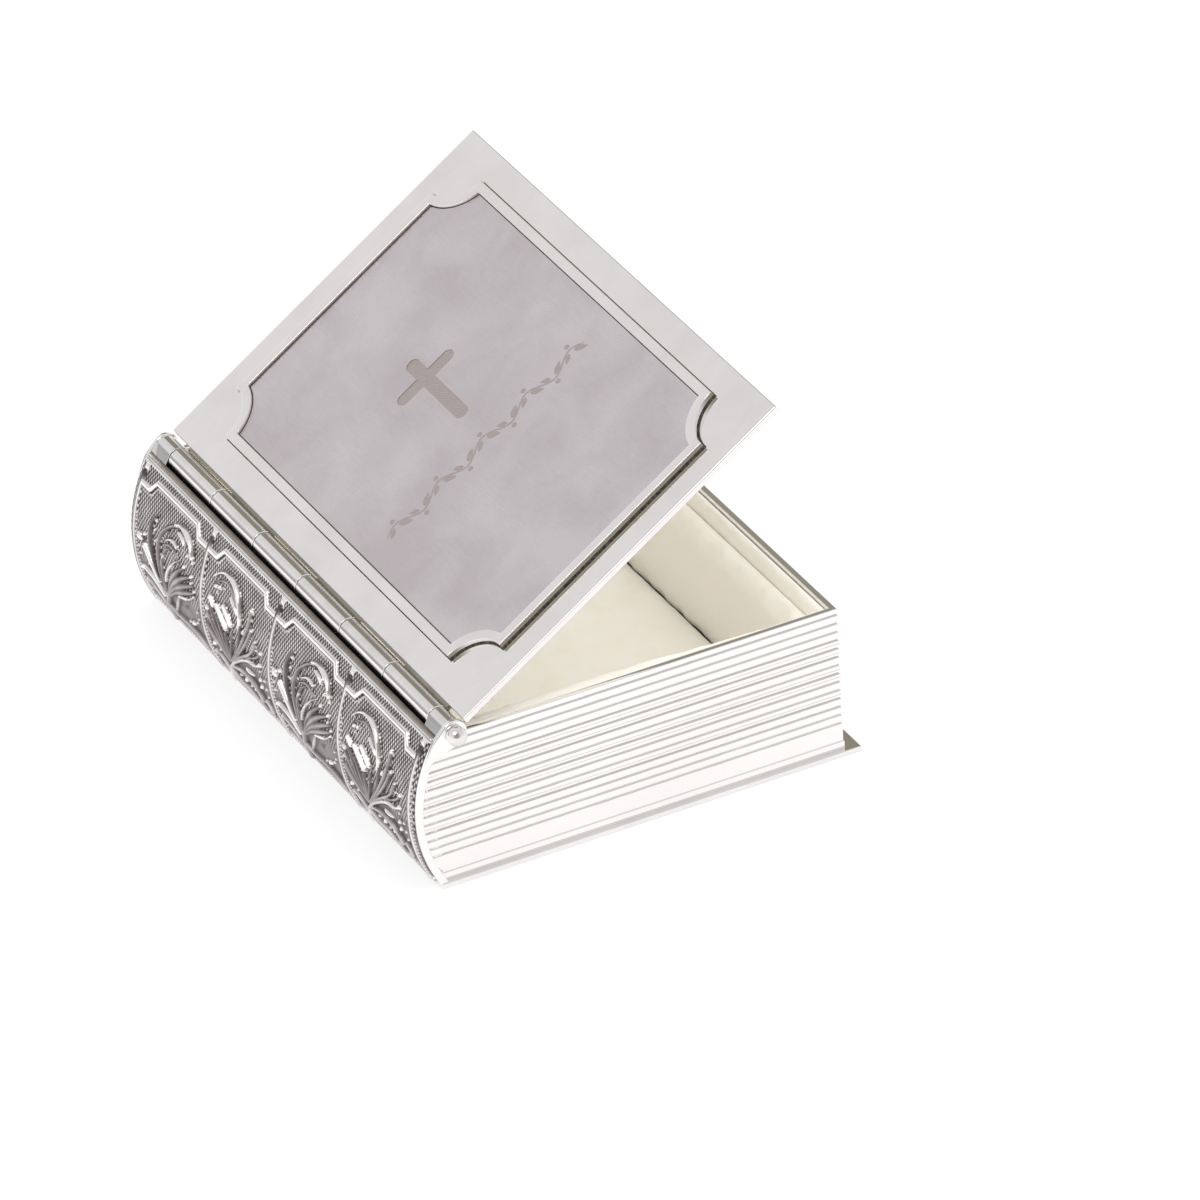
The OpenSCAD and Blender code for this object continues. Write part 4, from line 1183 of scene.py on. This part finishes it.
def bandParts():
    parts = []
    step = (band["x1"] - band["x0"]) / band["units"]
    perUnit = band["steps"]
    total = perUnit * band["units"]
    centre = [(band["x0"] + step * k / perUnit, band["wave"] * math.sin(math.pi * k / perUnit))
              for k in range(total + 1)]
    upper, lower = [], []
    for k, (x, y) in enumerate(centre):
        slope = band["wave"] * math.pi / step * math.cos(math.pi * k / perUnit)
        size = math.hypot(1, slope)
        taper = min(1, 0.35 + k / 10, 0.35 + (total - k) / 10)
        half = band["line"] / 2 * taper
        upper.append((x - slope / size * half, y + half / size))
        lower.append((x + slope / size * half, y - half / size))
    parts.append(upper + lower[::-1])
    for n in range(band["units"]):
        side = 1 if n % 2 == 0 else -1
        mx = band["x0"] + step * (n + 0.5)
        for lean, size in ((-1, 0.8), (1, 1)):
            # Two leaves spring from the stem into the hollow of each wave
            base = Vector((mx + lean * 0.5, side * (band["wave"] * 0.98 - 0.55)))
            angle = -side * math.radians(90) + side * lean * math.radians(50)
            length, width = band["leafLength"] * size, band["leafWidth"] * size
            turn = Matrix.Rotation(angle, 2)
            leaf = []
            for k in range(17):
                t = k / 16
                leaf.append((t * length, width / 2 * math.sin(math.pi * t ** 0.8)))
            leaf += [(x, -y) for x, y in leaf[-2:0:-1]]
            parts.append([tuple(base + turn @ Vector(p)) for p in leaf])
        berryAt = (mx, side * (band["wave"] + 1.0))
        parts.append([(berryAt[0] + band["berry"] * math.cos(a), berryAt[1] + band["berry"] * math.sin(a))
                      for a in (2 * math.pi * k / 20 for k in range(20))])
    return parts


def makeEtching():
    plaqueTop = coverTop + cover["plaque"]
    crossAt = Matrix.Translation(((frameX0 + frameX1) / 2, cover["crossUp"], plaqueTop - cover["etch"]))
    cross = flatShape("etchedCross", [crossOutline(0.02)], 0.03, 0.004, 1)
    shapePiece("etchedCross", cross, lidPlace @ crossAt, etchNickel, "lid")
    for n, outline in enumerate(bandParts()):
        lift = 0.002 * (n % 3)
        part = flatShape("etchedBand", [outline], band["proud"] * 2 + lift, 0.002, 1)
        place = Matrix.Translation((0, band["y"], plaqueTop - band["proud"]))
        part.transform(place)
        if n == 0:
            whole = bmesh.new()
        whole.from_mesh(part)
        bpy.data.meshes.remove(part)
    mesh = bpy.data.meshes.new("etchedBand")
    whole.to_mesh(mesh)
    whole.free()
    shapePiece("etchedBand", mesh, lidPlace, etchNickel, "lid")


makeCover()
makeEtching()
print("cover made")


# Linings: velveteen drawn over wadding and glued down along its back edges
# face is the axis that each one bulges along, and its direction; spare is the cloth's extra length;
# grow is how far it reaches past its solid on each side
pads = {
    "liningFront": {"node": "front_lining", "face": (1, 1), "cell": 0.85, "round": 1.4, "spare": 0.035,
                    "fill": 0.7, "grow": 0.28},
    "liningRear": {"node": "rear_lining", "face": (1, -1), "cell": 0.85, "round": 1.4, "spare": 0.035,
                   "fill": 0.7, "grow": 0.28},
    "liningSpine": {"node": "spine_lining", "face": (0, 1), "cell": 0.95, "round": 1.6, "spare": 0.035,
                    "fill": 0.5},
    "liningForeEdge": {"node": "fore_edge_lining", "face": (0, -1), "cell": 0.9, "round": 1.6, "spare": 0.035,
                       "fill": 0.5},
    "liningStrip": {"node": "fore_edge_strip", "face": (0, -1), "cell": 0.9, "round": 0.5, "spare": 0,
                    "fill": 0.3},
    "basePad": {"node": "base_pad", "face": (2, 1), "cell": 1.2, "round": 0.9, "spare": 0.03,
                "fill": 0.6, "grow": 0.48},
    "coverPad": {"node": "lid_lining", "face": (2, -1), "cell": 1.2, "round": 1.2, "spare": 0.03,
                 "fill": 0.5},
}
sewing = {"seamAt": 27.5, "seamHalf": 0.35, "seamDepth": 0.35, "cornerFill": 2.4, "scale": 10, "frames": 14,
          "cap": 0.45, "ruffle": 0.12, "seed": 11}


def padMesh(node, face, cell, edgeRound, grow):
    # A closed pad over the CAD solid's own depth: front grid, sides and flat back, in its body's frame in mm
    axis, way = face
    toBody = lidPlace.inverted() if node == "lid_lining" else Matrix.Identity(4)
    source = frame["nodes"][node].data
    points = [toBody @ (v.co / mm) for v in source.vertices]
    tree = BVHTree.FromPolygons(points, [tuple(f.vertices) for f in source.polygons])
    low = [min(p[i] for p in points) for i in range(3)]
    high = [max(p[i] for p in points) for i in range(3)]
    back = low[axis] if way > 0 else high[axis]
    first, second = [i for i in range(3) if i != axis]
    inset = 0.03
    ownRound = min(2.5, (high[first] - low[first]) / 3, (high[second] - low[second]) / 3)
    columns = max(4, round((high[first] - low[first]) / cell))
    rows = max(4, round((high[second] - low[second]) / cell))
    aim = Vector([-way if i == axis else 0 for i in range(3)])

    def place(a, b, depth):
        point = Vector((0, 0, 0))
        point[first], point[second], point[axis] = a, b, back + way * depth
        return point

    def spread(i, count, side):  # where a grid line lies, and where the solid's depth is measured
        start, stop = low[side] + inset, high[side] - inset
        line = start + (stop - start) * i / count
        return line + grow * (2 * i / count - 1), min(max(line, low[side] + ownRound), high[side] - ownRound)

    verts, backVerts, held = [], [], []
    for j in range(rows + 1):
        b, innerB = spread(j, rows, second)
        for i in range(columns + 1):
            a, innerA = spread(i, columns, first)
            hit = tree.ray_cast(place(innerA, innerB, 60), aim)[0]
            depth = abs(hit[axis] - back) if hit else 0.2
            sideways = min(a - low[first], high[first] - a) + grow
            if axis == 2:
                near = min(sideways, b - low[second] + grow, high[second] - b + grow)
            else:  # the pads on walls stand square on the floor of the box and fill its corners
                near = min(sideways * sewing["cornerFill"], high[second] - b + grow)
            depth = max(0.12, depth * (0.25 + 0.75 * math.sqrt(1 - (1 - min(1, near / edgeRound)) ** 2)))
            if node == "fore_edge_strip":  # the seam where the strip's two ends meet
                seam = abs(a - sewing["seamAt"]) / sewing["seamHalf"]
                depth -= sewing["seamDepth"] * max(0, 1 - seam ** 2)
            verts.append(place(a, b, depth))
            backVerts.append(place(a, b, 0))
            held.append(i in (0, columns) or j in (0, rows))

    def at(i, j):
        return j * (columns + 1) + i

    faces = [(at(i, j), at(i + 1, j), at(i + 1, j + 1), at(i, j + 1))
             for j in range(rows) for i in range(columns)]
    count = len(verts)
    faces += [tuple(count + k for k in f[::-1]) for f in faces]
    ring = [at(i, 0) for i in range(columns)] + [at(columns, j) for j in range(rows)]
    ring += [at(i, rows) for i in range(columns, 0, -1)] + [at(0, j) for j in range(rows, 0, -1)]
    for k, m in zip(ring, ring[1:] + ring[:1]):
        faces.append((k, count + k, count + m, m))
    return verts + backVerts, faces, held + [True] * count


def swell(verts, faces, held, spare):
    # Lets the cloth settle under slight air pressure, at ten times its size, and keeps the shape
    scale = sewing["scale"]
    mesh = bpy.data.meshes.new("cloth")
    mesh.from_pydata([tuple(v * mm * scale) for v in verts], [], faces)
    fixer = bmesh.new()
    fixer.from_mesh(mesh)
    bmesh.ops.recalc_face_normals(fixer, faces=fixer.faces)
    fixer.to_mesh(mesh)
    fixer.free()
    pick = random.Random(sewing["seed"])
    for v, fixed in zip(mesh.vertices, held):
        if not fixed:
            v.co += Vector([pick.uniform(-1, 1) for _ in range(3)]) * sewing["ruffle"] * mm * scale
    cloth = bpy.data.objects.new("cloth", mesh)
    bpy.context.scene.collection.objects.link(cloth)
    pins = cloth.vertex_groups.new(name="held")
    pins.add([k for k, fixed in enumerate(held) if fixed], 1.0, "REPLACE")
    modifier = cloth.modifiers.new("cloth", "CLOTH")
    settings = modifier.settings
    settings.quality = 5
    settings.mass = 0.2
    settings.tension_stiffness = 12
    settings.compression_stiffness = 12
    settings.shear_stiffness = 4
    settings.bending_stiffness = 0.25
    settings.air_damping = 2
    settings.shrink_min = -spare
    settings.use_pressure = True
    settings.uniform_pressure_force = 1.2
    settings.vertex_group_mass = "held"
    settings.effector_weights.gravity = 0
    modifier.collision_settings.use_collision = False
    scene = bpy.context.scene
    modifier.point_cache.frame_start, modifier.point_cache.frame_end = 1, sewing["frames"]
    for step in range(1, sewing["frames"] + 1):
        scene.frame_set(step)
    shaped = cloth.evaluated_get(bpy.context.evaluated_depsgraph_get()).data
    out = []
    for v, start in zip(shaped.vertices, verts):
        move = v.co / (mm * scale) - start
        out.append(start + move * (sewing["cap"] / max(move.length, sewing["cap"])))
    bpy.data.objects.remove(cloth)
    scene.frame_set(1)
    return out


def makePad(name, node, face, cell, edgeRound, spare, grow):
    verts, faces, held = padMesh(node, face, cell, edgeRound, grow)
    if spare:
        verts = swell(verts, faces, held, spare)
    onLid = node == "lid_lining"
    piece = newPiece(name, [tuple(v) for v in verts], faces, lining, "lid" if onLid else "box",
                     [node], lidPlace if onLid else None, sharp=80, even=False)
    smoother = piece.modifiers.new("smoother", "SUBSURF")
    smoother.levels = smoother.render_levels = 1
    print(name, "lined")


for name, pad in pads.items():
    makePad(name, pad["node"], pad["face"], pad["cell"], pad["round"], pad["spare"],
            pad.get("grow", 0))
print("linings made")


# Studio: white floor in a white room with soft daylight, and darker cards that polished metal mirrors
studio = {
    "floor": "#FDFDFD",
    "floorHalf": 3,
    "floorWhite": 0.72,
    "roomLight": 1.25,
    "glossHorizon": 1.0,
    "glossCeiling": 0.75,
    "keyPower": 6.0,
    "keySize": 0.9,
    "keyPlace": (-0.9, -0.5, 1.5),
}
# Each card: direction, soft edge from and to in degrees off that direction, colour, share of cover
darkCards = [
    ((-0.37, -0.766, 0.525), (44, 14), "#8A8678", 0.86),
    ((0.32, 0.766, 0.56), (17, 13), "#85806F", 0.92),
    ((-0.68, 0.73, -0.02), (24, 9), "#5A5E64", 0.65),
]


def makeFloor():
    half = studio["floorHalf"]
    mesh = bpy.data.meshes.new("floor")
    corners = [(-half, -half, 0), (half, -half, 0), (half, half, 0), (-half, half, 0)]
    mesh.from_pydata(corners, [], [(0, 1, 2, 3)])
    floor = bpy.data.objects.new("floor", mesh)
    material, tree, _ = newMaterial("paleFloor")
    shader = addNode(tree, "ShaderNodeBsdfPrincipled", {
        "Base Color": hexColour(studio["floor"]), "Roughness": 0.9, "Specular IOR Level": 0.0})
    glow = addNode(tree, "ShaderNodeEmission", {"Color": (1, 1, 1, 1), "Strength": 1.0})
    rays = addNode(tree, "ShaderNodeLightPath")
    seen = addNode(tree, "ShaderNodeMath", {
        0: rays.outputs["Is Camera Ray"], 1: rays.outputs["Is Glossy Ray"]}, operation="MAXIMUM")
    share = addNode(tree, "ShaderNodeMath", {
        0: seen.outputs[0], 1: studio["floorWhite"]}, operation="MULTIPLY")
    mixed = addNode(tree, "ShaderNodeMixShader", {
        0: share.outputs[0], 1: shader.outputs[0], 2: glow.outputs[0]})
    closeMaterial(tree, mixed)
    floor.data.materials.append(material)
    bpy.context.scene.collection.objects.link(floor)


def makeRoom():
    world = bpy.data.worlds.new("whiteRoom")
    bpy.context.scene.world = world
    world.use_nodes = True
    tree = world.node_tree
    tree.nodes.clear()
    towards = addNode(tree, "ShaderNodeTexCoord").outputs["Generated"]
    height = addNode(tree, "ShaderNodeSeparateXYZ", {0: towards}).outputs[2]
    mirrored = addNode(tree, "ShaderNodeCombineColor", {
        k: remap(tree, height, 0.05, 0.6, studio["glossHorizon"], studio["glossCeiling"]) for k in range(3)})
    mirrored = mirrored.outputs[0]
    for direction, (outer, inner), colour, cover in darkCards:
        facing = addNode(tree, "ShaderNodeVectorMath", {0: towards, 1: Vector(direction).normalized()},
                         operation="DOT_PRODUCT").outputs["Value"]
        share = remap(tree, facing, math.cos(math.radians(outer)), math.cos(math.radians(inner)), 0, cover)
        mixed = addNode(tree, "ShaderNodeMix", data_type="RGBA")
        tree.links.new(share, mixed.inputs[0])
        tree.links.new(mirrored, mixed.inputs[6])
        mixed.inputs[7].default_value = hexColour(colour)
        mirrored = mixed.outputs[2]
    rays = addNode(tree, "ShaderNodeLightPath")
    plain = addNode(tree, "ShaderNodeBackground", {"Color": (1, 1, 1, 1), "Strength": studio["roomLight"]})
    white = addNode(tree, "ShaderNodeBackground", {"Color": (1, 1, 1, 1), "Strength": 1.0})
    gloss = addNode(tree, "ShaderNodeBackground", {"Color": mirrored, "Strength": 1.0})
    first = addNode(tree, "ShaderNodeMixShader", {0: rays.outputs["Is Camera Ray"], 1: plain.outputs[0],
                                                  2: white.outputs[0]})
    last = addNode(tree, "ShaderNodeMixShader", {0: rays.outputs["Is Glossy Ray"], 1: first.outputs[0],
                                                 2: gloss.outputs[0]})
    addNode(tree, "ShaderNodeOutputWorld", {"Surface": last.outputs[0]})


def makeKeyLamp():
    data = bpy.data.lights.new("keyLamp", "AREA")
    data.energy = studio["keyPower"]
    data.size = studio["keySize"]
    lamp = bpy.data.objects.new("keyLamp", data)
    lamp.location = studio["keyPlace"]
    lamp.rotation_mode = "QUATERNION"
    lamp.rotation_quaternion = Vector(lamp.location).to_track_quat("Z", "Y")
    bpy.context.scene.collection.objects.link(lamp)


makeFloor()
makeRoom()
makeKeyLamp()
bpy.context.scene.view_settings.view_transform = "Standard"
print("studio made")
